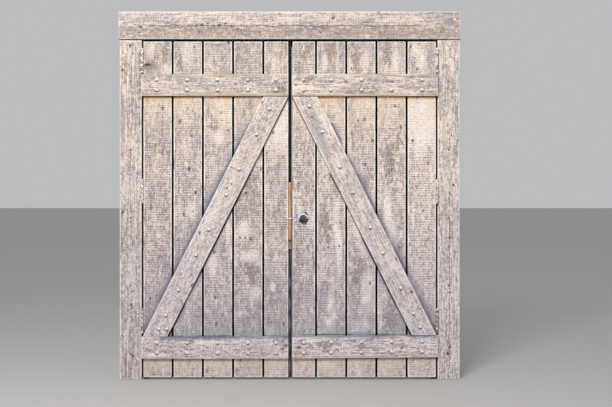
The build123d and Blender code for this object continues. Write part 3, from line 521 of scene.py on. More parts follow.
    def limewash(self, ground: Ground) -> Socket:
        """Colours bare wood and the worn wash on it, both with painted shade that makes them cooler and
        darker low down.

        Args:
            ground: What the layers share.

        Returns:
            The colour.
        """
        tree, saw, flakes = ground.tree, ground.saw, ground.flakes
        broad, streaks, somewhere = (cloud.paint(ground.local, self.seed)
                                     for cloud in (self.BROAD, self.OCHRE_STREAKS, self.SAWN_PLACES))
        rough = add(tree, "MapRange", {"Value": somewhere, "From Min": 0.42, "From Max": 0.60,
                                       "To Min": 0.15})
        lines, grain = (add(tree, "MapRange", {"Value": value, "From Min": low, "From Max": high,
                                               "To Min": -0.5, "To Max": 0.5})
                        for value, low, high in ((saw, 0.1, 0.8), (ground.grain, 0.38, 0.62)))
        cover = weighed(flakes, (product(lines, rough), self.SAW_WEIGHT * self.sawn),
                        (grain, self.GRAIN_WEIGHT * self.grained), (broad, self.BROAD_WEIGHT))
        cream = flakes
        for patch in (mark for mark in self.marks if isinstance(mark, Patch)):
            away = weighed(self.away(ground, patch), (flakes, self.PATCH_RAGGED))
            near = add(tree, "MapRange", {"Value": away, "From Min": self.PATCH_RIM[0],
                                          "From Max": self.PATCH_RIM[1]}, interpolation_type="SMOOTHSTEP")
            cover = weighed(cover, (near, patch.cover))
            cream = weighed(cream, (near, 1.0 if patch.cover > 0 else -1.0))
        level = add(tree, "SeparateXYZ", {0: ground.here}, out=2)
        turn = 0.3 * (0.5 - self.warmth)
        tones = []
        for names in ((self.bare_grey, self.bare, self.bare_low_shade), (self.wash_grey, self.wash, self.wash_low_shade)):
            grey, warm, low = (linear(name, self.lightness) for name in names)
            tone = coat(grey, warm, broad, 0.40 + turn, 0.60 + turn)
            # Painted shade: cooler and darker towards the floor.
            tones.append(coat(tone, low, level, *self.LOW_SHADE_COAT))
        bare, wash = tones
        wash = coat(wash, linear(self.CREAM, self.lightness), cream, *self.CREAM_COAT)
        middle = 0.5 + 0.5 * self.BROAD_WEIGHT + self.COVER_RANGE * (0.5 - self.cover)
        reach = self.COVER_EDGE / self.contrast
        colour = coat(bare, wash, cover, middle - reach, middle + reach)
        colour = coat(colour, linear(self.line), saw, *self.SAW_COAT, 0.26 * self.sawn)
        return coat(colour, linear(self.OCHRE), streaks, *self.OCHRE_COAT)

    def stained(self, ground: Ground, colour: Socket) -> Socket:
        """Adds the stains to the front half of the board.

        Args:
            ground: What the layers share.
            colour: The colour so far.

        Returns:
            The colour with the stains.
        """
        tree = ground.tree
        level = add(tree, "SeparateXYZ", {0: ground.here}, out=2)
        for number, stain in enumerate(self.stains):
            start, end = stain.start, stain.start + stain.width
            line = add(tree, "VectorMath", {0: ground.here, 1: stain.direction}, out=1,
                       operation="DOT_PRODUCT")
            fade = add(tree, "MapRange", {"Value": line, "From Min": start, "From Max": end,
                                          "To Min": 1.0, "To Max": 0.0})
            begun = add(tree, "Math", {0: line, 1: start - self.STAIN_UNDERLAP}, operation="GREATER_THAN")
            cloud = Cloud((stain.patchy * 2, 40, stain.patchy), 71 + number, 4)
            patchy = add(tree, "MapRange", {"Value": cloud.paint(ground.local, self.seed),
                                            "From Min": 0.32, "From Max": 0.52})
            inside = add(tree, "Math", {0: level, 1: (stain.low + stain.high) / 2,
                                        2: (stain.high - stain.low) / 2}, operation="COMPARE")
            part = product(fade, begun, patchy, inside, ground.in_front)
            colour = coat(colour, linear(stain.colour), part, 0.0, 1.0, stain.strength)
        return colour

    def blotted(self, ground: Ground, colour: Socket) -> Socket:
        """Adds knots and spots.

        Args:
            ground: What the layers share.
            colour: The colour so far.

        Returns:
            The colour with them.
        """
        ragged = self.RAGGED.paint(ground.local, self.seed)
        for blot in (mark for mark in self.marks if isinstance(mark, Blot)):
            rough = self.BLOT_RAGGED * blot.ragged
            away = weighed(self.away(ground, blot), (ragged, rough))
            soft = self.BLOT_FADE / min(blot.length, blot.width)
            colour = coat(colour, linear(blot.colour), away, 1 + rough / 2 + soft / 2,
                          1 + rough / 2 - soft, blot.strength)
        return colour

    def painted_depth_shade(self, ground: Ground, colour: Socket) -> Socket:
        """Paints shade on the floors of cracks and, where a gap is given, on the depths of the gaps between
        boards.

        Args:
            ground: What the layers share.
            colour: The colour so far.

        Returns:
            The colour with the painted shade.
        """
        tree, dark = ground.tree, linear(self.gap_shade_colour)
        if self.gap:
            through = add(tree, "SeparateXYZ", {0: ground.here}, out=1)
            middle, half = (self.gap[0] + self.gap[1]) / 2 * MM, (self.gap[1] - self.gap[0]) / 2 * MM
            deep = add(tree, "Math", {0: through, 1: middle, 2: half}, operation="COMPARE")
            colour = coat(colour, dark, deep, 0.0, 1.0)
            before = add(tree, "Math", {0: through, 1: middle}, operation="LESS_THAN")
            colour = coat(colour, dark, product(ground.edge, before), *self.GAP_EDGE_SHADE_COAT)
        # Painted shade on the floors of cracks.
        crack_shade = add(tree, "Attribute", attribute_name="crack_shade", out=2)
        return coat(colour, linear(self.GROOVE), crack_shade, 0.0, 1.0)


@dataclass(frozen=True)
class Crack:
    """A drying crack along the grain of a board's face, in millimetres from the middle of the board."""
    start: float
    end: float
    across: float
    width: float
    depth: float
    drift: float

    BESIDE = (-1.0, -0.25, 0.25, 1.0)
    TAPER = 60.0


@dataclass(frozen=True)
class Wear:
    """How far a board's surface has gone back from its sawn size, in millimetres."""
    least: float = 0.2
    wave: float = 0.7
    edge_least: float = 0.5
    edge_most: float = 1.9
    chip: float = 2.2
    reach: float = 9.0


@dataclass
class Board:
    """One worn board, which stands for a board of the CAD model and keeps its holes, laps and ends."""
    node: str
    body: str
    material_slot: str
    finish: WeatheredWood
    along: Vector
    pitch: float = 13.0
    wear: Wear = Wear()
    cracks: tuple[Crack, ...] = ()
    bolts: tuple[Vector, ...] = ()

    FLAT_ANGLE = math.radians(1)
    LONG_EDGE = 60 * MM
    EDGE_CUTS = (1.3, 3.2, 6.0, 10.5)
    EDGE_FADE = 14 * MM
    SAME_FACE = 0.9
    # Each bolt gets a ring of rust, set a little low so that it also paints the shadow under the head.
    RUST_AND_SHADOW_RING_COLOUR = "#77655b"
    RING_SHADOW_DROP = 4 * MM
    RING_SIZE = 14.5

    def __post_init__(self) -> None:
        """Works out the board's directions and middle, and marks round each bolt through it a ring of rust
        and painted shadow, set a little below the bolt.
        """
        self.across = Vector((-self.along.z, 0.0, self.along.x))
        self.out = Vector((0.0, -1.0, 0.0))
        points = [v.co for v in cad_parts[self.node].data.vertices]
        self.front = min(p.y for p in points)
        back = max(p.y for p in points)
        face = [p for p in points if p.y - self.front < 1 * MM]
        self.centre = Vector((0.0, (self.front + back) / 2, 0.0))
        for axis in (self.along, self.across):
            reach = [p.dot(axis) for p in face]
            self.centre += axis * (min(reach) + max(reach)) / 2
        rings = []
        for bolt in self.bolts:
            lower = bolt - self.centre - UPRIGHT * self.RING_SHADOW_DROP
            if self.inside(bolt, face):
                rings.append(Blot(self.RUST_AND_SHADOW_RING_COLOUR, lower.dot(self.along) / MM, lower.dot(self.across) / MM,
                                  self.RING_SIZE, self.RING_SIZE, 0.7, 0.15))
        self.finish = replace(self.finish, marks=self.finish.marks + tuple(rings))
        self.seed = Vector((self.finish.seed * 5.3, self.finish.seed * 2.9, self.finish.seed * 8.1))

    def inside(self, point: Vector, face: list[Vector]) -> bool:
        """Says whether a point lies in front of the board's face, which is given by its points."""
        return all(min(p.dot(axis) for p in face) < point.dot(axis) < max(p.dot(axis) for p in face)
                   for axis in (self.along, self.across))

    def build(self) -> None:
        """Makes the worn board."""
        mesh = merged(self.node)
        bmesh.ops.dissolve_limit(mesh, angle_limit=self.FLAT_ANGLE, verts=mesh.verts, edges=mesh.edges)
        arris = mesh.edges.layers.int.new("arris")
        for edge in mesh.edges:
            edge[arris] = int(edge.calc_length() > self.LONG_EDGE and edge.calc_face_angle(0.0) > SHARP_ANGLE)
        self.cut(mesh)
        self.wear_down(mesh, arris)
        made = new_object(mesh, "worn_" + self.node)
        if "custom_normal" in made.data.attributes:
            made.data.attributes.remove(made.data.attributes["custom_normal"])
        stand_in(made, self.body, self.node, self.finish.build(self))

    def cut(self, mesh: Mesh) -> None:
        """Cuts the faces into small squares, closer together near the edges.

        Args:
            mesh: The board's mesh.
        """
        places = {}
        for name, axis in (("along", self.along), ("across", self.across), ("through", -self.out)):
            face = [v.co.dot(axis) for v in mesh.verts
                    if name != "across" or v.co.y - self.front < 1 * MM]
            whole = [v.co.dot(axis) for v in mesh.verts]
            low, high = min(face), max(face)
            near = [s * MM for s in self.EDGE_CUTS if s * MM < (high - low) / 2]
            cuts = {low, high} | {low + s for s in near} | {high - s for s in near}
            first, last = low + near[-1], high - near[-1]
            count = max(1, round((last - first) / (self.pitch * MM)))
            if name != "through":
                cuts |= {first + (last - first) * i / count for i in range(count + 1)}
            places[name] = sorted(c for c in cuts if min(whole) + MERGE < c < max(whole) - MERGE)
        middle = self.centre.dot(self.across)
        for crack in self.cracks:
            places["across"] += [middle + (crack.across + offset * crack.width / 2) * MM
                                 for offset in crack.BESIDE]
        for name, axis in (("along", self.along), ("through", -self.out), ("across", self.across)):
            for cut in places[name]:
                bmesh.ops.bisect_plane(mesh, geom=mesh.verts[:] + mesh.edges[:] + mesh.faces[:],
                                       dist=MERGE, plane_co=axis * cut, plane_no=axis)

    def worn(self, place: Vector, distance: float) -> float:
        """Says how far a point of the surface has gone back.

        Args:
            place: The point, in metres.
            distance: How far the nearest long edge is, in metres.

        Returns:
            The depth, in metres.
        """
        wear = self.wear
        spot = Vector((place.dot(self.along) / 0.16, place.y / 0.05, place.dot(self.across) / 0.06))
        spot += self.seed
        depth = wear.least + wear.wave * (0.5 + 0.5 * noise.noise(spot))
        edge = max(0.0, 1 - distance / (wear.reach * MM)) ** 2
        if edge > 0:
            rounding = 0.5 + 0.5 * noise.noise(spot * 2.3 + Vector((7.0, 3.0, 1.0)))
            depth += edge * (wear.edge_least + (wear.edge_most - wear.edge_least) * rounding)
            chip = noise.noise(place / 0.03 + self.seed)
            depth += edge * wear.chip * max(0.0, chip - 0.25) / 0.75
        return depth * MM

    def wear_down(self, mesh: Mesh, arris: bmesh.types.BMLayerItem) -> None:
        """Moves each point back from the faces it lies on, and opens the cracks.

        Args:
            mesh: The board's mesh.
            arris: The layer that marks the board's long edges.
        """
        edge_layer = mesh.verts.layers.float.new("wear")
        # This layer marks where painted shade darkens the floors of cracks.
        crack_shade_layer = mesh.verts.layers.float.new("crack_shade")
        corners = {v for e in mesh.edges if e[arris] for v in e.verts}
        near = kdtree.KDTree(len(corners))
        for number, vert in enumerate(corners):
            near.insert(vert.co, number)
        near.balance()
        mesh.normal_update()
        moves = []
        for vert in mesh.verts:
            normals: list[Vector] = []
            for face in vert.link_faces:
                if all(face.normal.dot(n) < self.SAME_FACE for n in normals):
                    normals.append(face.normal.copy())
            distance = near.find(vert.co)[2]
            move = -sum(normals, Vector()) * self.worn(vert.co, distance)
            # The wear attribute says how near a long edge is; the material uses it for pale arrises and for
            # painted shade at gap edges.
            vert[edge_layer] = max(0.0, 1 - distance / self.EDGE_FADE)
            if any(n.dot(self.out) > self.SAME_FACE for n in normals):
                move += self.crack_move(vert, crack_shade_layer)
            moves.append(move)
        for vert, move in zip(mesh.verts, moves):
            vert.co += move

    def crack_move(self, vert: bmesh.types.BMVert, layer: bmesh.types.BMLayerItem) -> Vector:
        """Moves a point of the face into the cracks that run through it.

        Args:
            vert: The point.
            layer: The layer that marks the floors of cracks, which get painted shade.

        Returns:
            How far it moves, in metres.
        """
        move = Vector()
        run = (vert.co - self.centre).dot(self.along) / MM
        side = (vert.co - self.centre).dot(self.across) / MM
        for number, crack in enumerate(self.cracks):
            off = abs(side - crack.across)
            if not crack.start < run < crack.end or off > crack.width * 2:
                continue
            taper = min(1.0, (run - crack.start) / crack.TAPER, (crack.end - run) / crack.TAPER)
            path = noise.noise(Vector((run / 70, number * 9.7, self.finish.seed)))
            move += self.across * (crack.drift * path * MM * max(0.0, 1 - off / (crack.width * 2)))
            if off < crack.width * 0.3:
                broken = 0.65 + 0.35 * noise.noise(Vector((run / 25, 4.2, number * 3.1)))
                move -= self.out * (crack.depth * taper * broken * MM)
                vert[layer] = min(1.0, taper * 1.5) * broken
        return move


@dataclass(frozen=True)
class ChippedPaint:
    """Steel with old cream paint that has chipped off to rust, which looks dull and blotched, and painted
    shade where a piece marks its underside.
    """
    name: str
    paint: str
    rust: str
    chipped: float
    size: float
    foot_rust: float = 0.0

    UNDERSIDE_SHADE_COLOUR = "#3a2a24"
    FINE = Cloud((2.5, 2.5, 2.5), 8.0, 3, 0.6)
    RIM = 0.02
    FOOT = (0.5, 0.3)

    def build(self) -> bpy.types.Material:
        """Makes the material.

        Returns:
            The material.
        """
        material, tree, here = new_material(self.name)
        local = in_millimetres(here)
        cloud = Cloud((self.size,) * 3, 3.0, 5, 0.65).paint(local)
        fine = self.FINE.paint(local)
        paint = coat(linear(self.paint), linear(self.paint, 1.12), cloud, 0.4, 0.7)
        rust = coat(linear(self.rust, 0.55), linear(self.rust, 1.5), fine, 0.3, 0.7)
        limit = 0.47 + 0.28 * self.chipped
        level = add(tree, "SeparateXYZ", {0: here}, out=2)
        low_down = add(tree, "MapRange", {"Value": level, "From Min": self.FOOT[0], "From Max": self.FOOT[1]})
        flaked = weighed(cloud, (fine, 0.2), (low_down, -self.foot_rust))
        colour = coat(paint, rust, flaked, limit + self.RIM, limit - self.RIM)
        # Painted shade on the lower half of each bolt head.
        underside_shade = add(tree, "Attribute", attribute_name="underside_shade", out=2)
        colour = coat(colour, linear(self.UNDERSIDE_SHADE_COLOUR), underside_shade, 0.25, 0.6)
        rough = add(tree, "MapRange", {"Value": flaked, "From Min": limit - self.RIM, "To Min": 0.9,
                                       "From Max": limit + self.RIM, "To Max": 0.55})
        bump = add(tree, "Bump", {"Height": weighed(fine, (rough, -3.0)), "Strength": 0.6,
                                  "Distance": 0.4 * MM})
        close_material(tree, {"Base Color": colour, "Roughness": rough, "IOR": 1.5, "Specular IOR Level": 0.4,
                              "Normal": bump})
        return material


@dataclass(frozen=True)
class DullMetal:
    """A plain metal surface that has dulled outdoors, with smears and fine scratches in its shine."""
    name: str
    light: str
    dark: str
    roughness: float
    metallic: float = 1.0
    size: float = 14.0

    SCRATCHES = Cloud((0.8, 0.8, 12), 9.0, 2, 0.5)

    def build(self) -> bpy.types.Material:
        """Makes the material.

        Returns:
            The material.
        """
        material, tree, here = new_material(self.name)
        local = in_millimetres(here)
        cloud = Cloud((self.size,) * 3, 5.0, 5, 0.6).paint(local)
        scratch = self.SCRATCHES.paint(local)
        colour = coat(linear(self.dark), linear(self.light), weighed(cloud, (scratch, 0.3)), 0.5, 0.8)
        rough = add(tree, "MapRange", {"Value": cloud, "From Min": 0.35, "From Max": 0.65,
                                       "To Min": self.roughness + 0.12, "To Max": self.roughness - 0.08})
        bump = add(tree, "Bump", {"Height": scratch, "Strength": 0.25, "Distance": 0.1 * MM})
        close_material(tree, {"Base Color": colour, "Metallic": self.metallic, "Roughness": rough,
                              "Normal": bump})
        return material


@dataclass(frozen=True)
class LockFace:
    """A round lock face that has gone nearly black, with pale smears that paint glints and a rim painted
    lighter on top, as a highlight, and darker below.
    """
    name: str
    piece: str
    glint_smear: str
    rim: str
    shaded_rim: str

    DARK = "#0c0b0c"
    # Lengths here are shares of the face's radius.
    GLINT_SMEARS = Cloud((0.16,) * 3, 4.0, 4, 0.7)
    RIM_COAT = (0.80, 0.86)

    def build(self) -> bpy.types.Material:
        """Makes the material.

        Returns:
            The material.
        """
        material, tree, here = new_material(self.name)
        low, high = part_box(self.piece)
        middle, radius = (low + high) / 2, (high.x - low.x) / 2
        local = add(tree, "Mapping", {"Vector": here, "Location": tuple(-c / radius for c in middle),
                                      "Scale": (1 / radius,) * 3})
        flat = add(tree, "VectorMath", {0: local, 1: (1.0, 0.0, 1.0)}, operation="MULTIPLY")
        away = add(tree, "VectorMath", {0: flat}, out=1, operation="LENGTH")
        level = add(tree, "SeparateXYZ", {0: local}, out=2)
        cloud = self.GLINT_SMEARS.paint(local)
        # Pale smears on the dark face are painted glints.
        colour = coat(linear(self.DARK), linear(self.glint_smear), cloud, 0.56, 0.62)
        # The rim is painted lighter on top, as a highlight, and darker below.
        rim = coat(linear(self.shaded_rim), linear(self.rim), weighed(level, (cloud, 0.8)), 0.1, 0.5)
        colour = coat(colour, rim, weighed(away, (cloud, 0.2)), *self.RIM_COAT)
        bump = add(tree, "Bump", {"Height": cloud, "Strength": 0.5, "Distance": 0.4 * MM})
        close_material(tree, {"Base Color": colour, "Metallic": 0.0, "Roughness": 0.6,
                              "Specular IOR Level": 0.12, "Normal": bump})
        return material


class Side(Enum):
    """The two leaves, as seen from the front."""
    LEFT = -1
    RIGHT = 1

    @property
    def word(self) -> str:
        """The word that names of pieces start with."""
        return self.name.lower()


@dataclass(frozen=True)
class PlankLook:
    """What sets one plank apart from its neighbours."""
    lightness: float
    cover: float
    warmth: float
    marks: tuple[Mark, ...]


@dataclass
class Leaf:
    """One leaf: five planks, two rails, a brace and the ironwork on them."""
    side: Side
    bolt_paint: ChippedPaint
    planks: tuple[PlankLook, ...]
    rail_tone: dict[str, float]
    rail_marks: dict[str, tuple[Mark, ...]]
    brace_marks: tuple[Mark, ...]

    PLANK_WEAR = Wear(wave=0.5, edge_least=0.9, edge_most=1.3, chip=0.8, reach=7.0)
    PLANK_FACE = -48.5
    # The planks get painted shade between these depths, in the gaps: near black between planks, dark brown at
    # the outer edges of the leaf.
    GAP = (-47.3, -13.0)
    OUTER_GAP, INNER_GAP = "#2f2723", "#080505"
    SHADE_WIDTH = 80 * MM
    SHADE_TOP = 1.62
    LOW_SHADE_TOP = 0.9
    # The black painted shadow under the brace reaches up to here.
    SHADOW_LINE_TOP = 1.3
    TINT_WIDTH = 30 * MM
    WARM_WIDTH = 380 * MM
    # The painted shade above the bottom rail fades over this height and starts this far below the rail's top.
    LOW_SHADE_WIDTH = 700 * MM
    LOW_SHADE_START = 30 * MM
    TOP_ZONE = 2140 * MM
    # The dark lines of painted shadow along the rails are this wide.
    SHADOW_LINE_WIDTH = 7 * MM
    CAP_WIDTH = 26 * MM
    BRACE_HEAD_SHADOW = 9 * MM
    # The top edge of the top rail is tinted yellow-green; the top edge of the bottom rail gets dark blue
    # painted shade.
    RAIL_CAP_TINT_AND_SHADE = (("top", "#aea27e", 2.0), ("bottom", "#59607a", 5.0))
    RAIL_FOOT = "#b49c72"
    SHADOW_LINE_COLOUR = "#1c1412"

    def brace_line(self) -> tuple[Vector, Vector, float, float]:
        """Finds the brace's direction and its two sides.

        Returns:
            The direction along it, the direction out of its upper side, and where its upper and lower sides
            lie.
        """
        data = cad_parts[self.side.word + "_brace"].data
        long_side = max((f for f in data.polygons if abs(f.normal.y) < 0.1), key=lambda f: f.area)
        upper = Vector((long_side.normal.x, 0.0, long_side.normal.z)).normalized()
        if upper.z < 0:
            upper.negate()
        along = Vector((-upper.z, 0.0, upper.x)) * self.side.value
        reach = [v.co.dot(upper) for v in data.vertices]
        return along, upper, max(reach), min(reach)

    def bolt_places(self) -> tuple[Vector, ...]:
        """Finds the middle of each bolt's head, which is the point of it that stands out furthest.

        Returns:
            The places.
        """
        points = [v.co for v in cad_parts[self.side.word + "_carriage_bolts"].data.vertices]
        front = min(p.y for p in points)
        tops: list[Vector] = []
        for point in points:
            if point.y - front < 0.02 * MM and all((point - top).length > 10 * MM for top in tops):
                tops.append(point.copy())
        return tuple(tops)

    def stains(self) -> tuple[Stain, ...]:
        """Works out the tints, stains, painted shade and painted shadow lines that rail and brace leave on
        the planks.

        Returns:
            The stains, lowest layer first.
        """
        _, upper, edge, edge_below = self.brace_line()
        above, below, under = tuple(upper), tuple(-upper), -edge_below
        top_low, top_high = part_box(self.side.word + "_top_rail")
        foot_low, foot_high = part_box(self.side.word + "_bottom_rail")
        shade, foot, low_shade_from = self.SHADE_WIDTH, foot_low.z, foot_high.z - self.LOW_SHADE_START
        return (
            Stain("#958b83", DOWN, -self.TOP_ZONE, 2 * (self.TOP_ZONE - top_high.z), 0.3, 18.0),
            Stain("#e6cdb2", DOWN, -top_low.z, self.WARM_WIDTH, 0.42, 70.0),
            Stain("#d8a268", DOWN, -top_low.z, self.TINT_WIDTH, 0.9, 200.0),
            # Painted shade: darker and bluer from the bottom rail upwards, fading with height.
            Stain("#8b868d", UP, low_shade_from, self.LOW_SHADE_WIDTH, 0.5, 34.0),
            Stain("#9498ac", UP, low_shade_from, 0.2 * self.LOW_SHADE_WIDTH, 0.5, 35.0),
            Stain("#d6c0b0", DOWN, -foot, 2 * foot, 0.6, 60.0),
            # Blue-grey stain and painted shade beside the brace: along its upper side, and low down along its
            # lower side.
            Stain("#85848f", above, edge, shade, 0.5, 60.0, foot, self.SHADE_TOP),
            Stain("#7d7c8b", above, edge, 0.7 * shade, 0.6, 200.0, foot, 0.8 * self.SHADE_TOP),
            Stain("#565a76", above, edge, 0.35 * shade, 0.8, 110.0, foot, self.SHADE_TOP),
            Stain("#868ca4", below, under, 0.5 * shade, 0.7, 45.0, foot, self.LOW_SHADE_TOP),
            # Painted shadow under the lower side of the brace: a brown line all along, and a wider black one
            # lower down.
            Stain("#5b473a", below, under, 12 * MM, 0.85, 300.0, foot, top_high.z),
            Stain("#140d0b", below, under, 17 * MM, 0.97, 300.0, foot, self.SHADOW_LINE_TOP),
            # Dark lines of painted shadow and dirt: under the top rail, and above and under the bottom rail.
            Stain(self.SHADOW_LINE_COLOUR, DOWN, -top_low.z, self.SHADOW_LINE_WIDTH, 0.95, 260.0),
            Stain("#3a2f33", UP, foot_high.z, self.SHADOW_LINE_WIDTH, 0.7, 260.0),
            Stain("#5a463c", DOWN, -foot, self.SHADOW_LINE_WIDTH, 0.7, 260.0),
        )

    def build(self) -> None:
        """Makes the boards of the leaf and paints its bolts."""
        word, side = self.side.word, self.side.value
        body, slot = word + "_leaf", "whitewashed_wood"
        stains, bolts = self.stains(), self.bolt_places()
        for number, look in enumerate(self.planks, 1):
            outer = number in (1, len(self.planks))
            finish = WeatheredWood(f"limewashed_plank_{word}_{number}", lightness=look.lightness,
                                   cover=look.cover, warmth=look.warmth, seed=number * 3.7 + side * 19.0,
                                   gap_shade_colour=self.OUTER_GAP if outer else self.INNER_GAP, gap=self.GAP,
                                   stains=stains, marks=look.marks)
            Board(f"{word}_plank_{number}", body, slot, finish, UPRIGHT, wear=self.PLANK_WEAR).build()
        for place, cap_tint_and_shade, seed in self.RAIL_CAP_TINT_AND_SHADE:
            node = f"{word}_{place}_rail"
            low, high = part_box(node)
            edges = (Stain(cap_tint_and_shade, DOWN, -high.z, self.CAP_WIDTH, 0.95, 160.0),
                     Stain(self.RAIL_FOOT, UP, low.z, self.CAP_WIDTH, 0.6, 120.0))
            finish = WeatheredWood(f"limewashed_{place}_rail_{word}", lightness=self.rail_tone[place],
                                   cover=0.55, sawn=0.3, grained=2.2, pale_edge_highlight=0.5, seed=seed + side * 7.0,
                                   stains=edges, marks=self.rail_marks[place])
            Board(node, body, slot, finish, LEVEL, bolts=bolts).build()
        rail_low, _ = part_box(word + "_top_rail")
        # Painted shadow of the top rail across the head of the brace.
        head = Stain(self.SHADOW_LINE_COLOUR, DOWN, -rail_low.z, self.BRACE_HEAD_SHADOW, 0.95, 260.0)
        finish = WeatheredWood(f"limewashed_brace_{word}", cover=0.60, sawn=0.5, grained=1.4, contrast=0.85,
                               pale_edge_highlight=0.4, seed=41.0 + side, stains=(head,), marks=self.brace_marks)
        Board(word + "_brace", body, slot, finish, self.brace_line()[0], bolts=bolts).build()
        self.dress_bolts()

    def dress_bolts(self) -> None:
        """Paints the bolts, and marks the lower half of each head for painted shade."""
        node = self.side.word + "_carriage_bolts"
        mesh = merged(node)
        layer = mesh.verts.layers.float.new("underside_shade")
        mesh.normal_update()
        for vert in mesh.verts:
            # The downward-facing half of each head is marked for painted shade.
            vert[layer] = max(0.0, -vert.normal.z) if vert.co.y < self.PLANK_FACE * MM else 0.0
        made = new_object(mesh, self.side.word + "_painted_bolts")
        stand_in(made, self.side.word + "_leaf", node, self.bolt_paint.build())


@dataclass
class Surround:
    """The fixed frame: header, casings, and the posts, beam and stops behind them."""
    header_marks: tuple[Mark, ...]
    left_marks: tuple[Mark, ...]
    right_marks: tuple[Mark, ...]

    CASING_CRACK = Crack(-1040, 130, -4, 5, 7, 12)
    HEADER_CRACK = Crack(-930, 860, -4, 5, 6, 12)
    HEADER_BAND = "#a4958a"
    # The front of each stop gets painted shade between these depths, where it shows through the gaps round
    # the leaves.
    STOP_SHADED_GAP = (-10.5, -2.5)
    # The low colours here are painted shade as well.
    BARE = dict(wash="#b09a84", wash_grey="#a39384", bare="#84705e", bare_grey="#7b6f66", edge="#b5a390",
                wash_low_shade="#a09284", bare_low_shade="#776b61", flake="#b8a38c", line="#6a5745")
    TIMBERS = (("left_post", UPRIGHT, 71.0), ("right_post", UPRIGHT, 74.0), ("head_beam", LEVEL, 77.0),
               ("left_stop", UPRIGHT, 80.0), ("right_stop", UPRIGHT, 83.0), ("head_stop", LEVEL, 86.0))

    def build(self) -> None:
        """Makes the boards of the frame."""
        low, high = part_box("header_board")
        band = Stain(self.HEADER_BAND, UP, low.z, 0.8 * (high.z - low.z), 0.4, 22.0)
        looks = (
            ("header_board", LEVEL, (self.HEADER_CRACK,),
             dict(seed=61.0, lightness=0.89, cover=0.60, sawn=0.5, grained=2.0, stains=(band,),
                  marks=self.header_marks)),
            ("left_casing_board", UPRIGHT, (),
             dict(seed=64.0, lightness=0.92, sawn=0.35, grained=1.9, marks=self.left_marks)),
            ("right_casing_board", UPRIGHT, (self.CASING_CRACK,),
             dict(seed=67.0, lightness=1.03, cover=0.56, sawn=0.35, grained=1.9, marks=self.right_marks)),
        )
        for node, along, cracks, look in looks:
            finish = WeatheredWood("limewashed_" + node, pale_edge_highlight=0.5, **look)
            Board(node, "frame", "pale_casing", finish, along, cracks=cracks).build()
        for node, along, seed in self.TIMBERS:
            finish = WeatheredWood("bare_sawn_" + node, seed=seed, **self.BARE,
                                   gap=self.STOP_SHADED_GAP if "stop" in node else None)
            Board(node, "frame", "frame_timber", finish, along, pitch=22.0).build()


@dataclass
class MeetingStrips:
    """The strips in the gap between the leaves."""
    STRIP_WEAR = Wear(least=0.1, wave=0.3, edge_least=0.3, edge_most=1.0, chip=1.0, reach=4.0)
    SAW_LINE = 878 * MM
    STRIP_TOP = 1236 * MM
    # The painted shadow along the right edge of each strip starts here.
    STRIP_SHADOW_FROM = 10.8 * MM
    # The upper and lower strips are coloured nearly black and dark blue-grey as painted shade, and the pale
    # blue-grey blots low on the lower strip are painted light. The strike strip is bare new wood.
    LOOKS = (("upper_meeting_strip", "grey_strip", "#171313", "#0c0a0a", 90.0, (), ()),
             ("lower_meeting_strip", "grey_strip", "#3a3a44", "#141216", 92.0, (),
              tuple(Blot("#8d92a2", 190 - 130 * i, 4, 34 + 9 * (i % 3), 5, 0.7, 0.5) for i in range(5))),
             ("strike_strip", "new_wood", "#d0966c", "#b27c54", 94.0,
              (Stain("#875a33", DOWN, -SAW_LINE, 90 * MM, 0.9, 200.0),
               Stain("#1a100c", DOWN, -SAW_LINE, 7 * MM, 0.97, 400.0),
               Stain("#f0e2d0", UP, STRIP_TOP, 20 * MM, 0.9, 400.0)), ()))

    def build(self) -> None:
        """Makes the strips."""
        # Painted shadow along the right edge of each strip, beside the right leaf.
        strip_edge_shadow = Stain("#0d0908", RIGHT, self.STRIP_SHADOW_FROM, 40 * MM, 0.97, 400.0)
        for node, slot, wash, bare, seed, stains, marks in self.LOOKS:
            finish = WeatheredWood("sawn_" + node, wash=wash, wash_grey=wash, wash_low_shade=wash, bare=bare,
                                   bare_grey=bare, bare_low_shade=bare, flake=wash, edge=wash, seed=seed, sawn=0.4,
                                   stains=(*stains, strip_edge_shadow), marks=marks)
            Board(node, "left_leaf", slot, finish, UPRIGHT, wear=self.STRIP_WEAR).build()


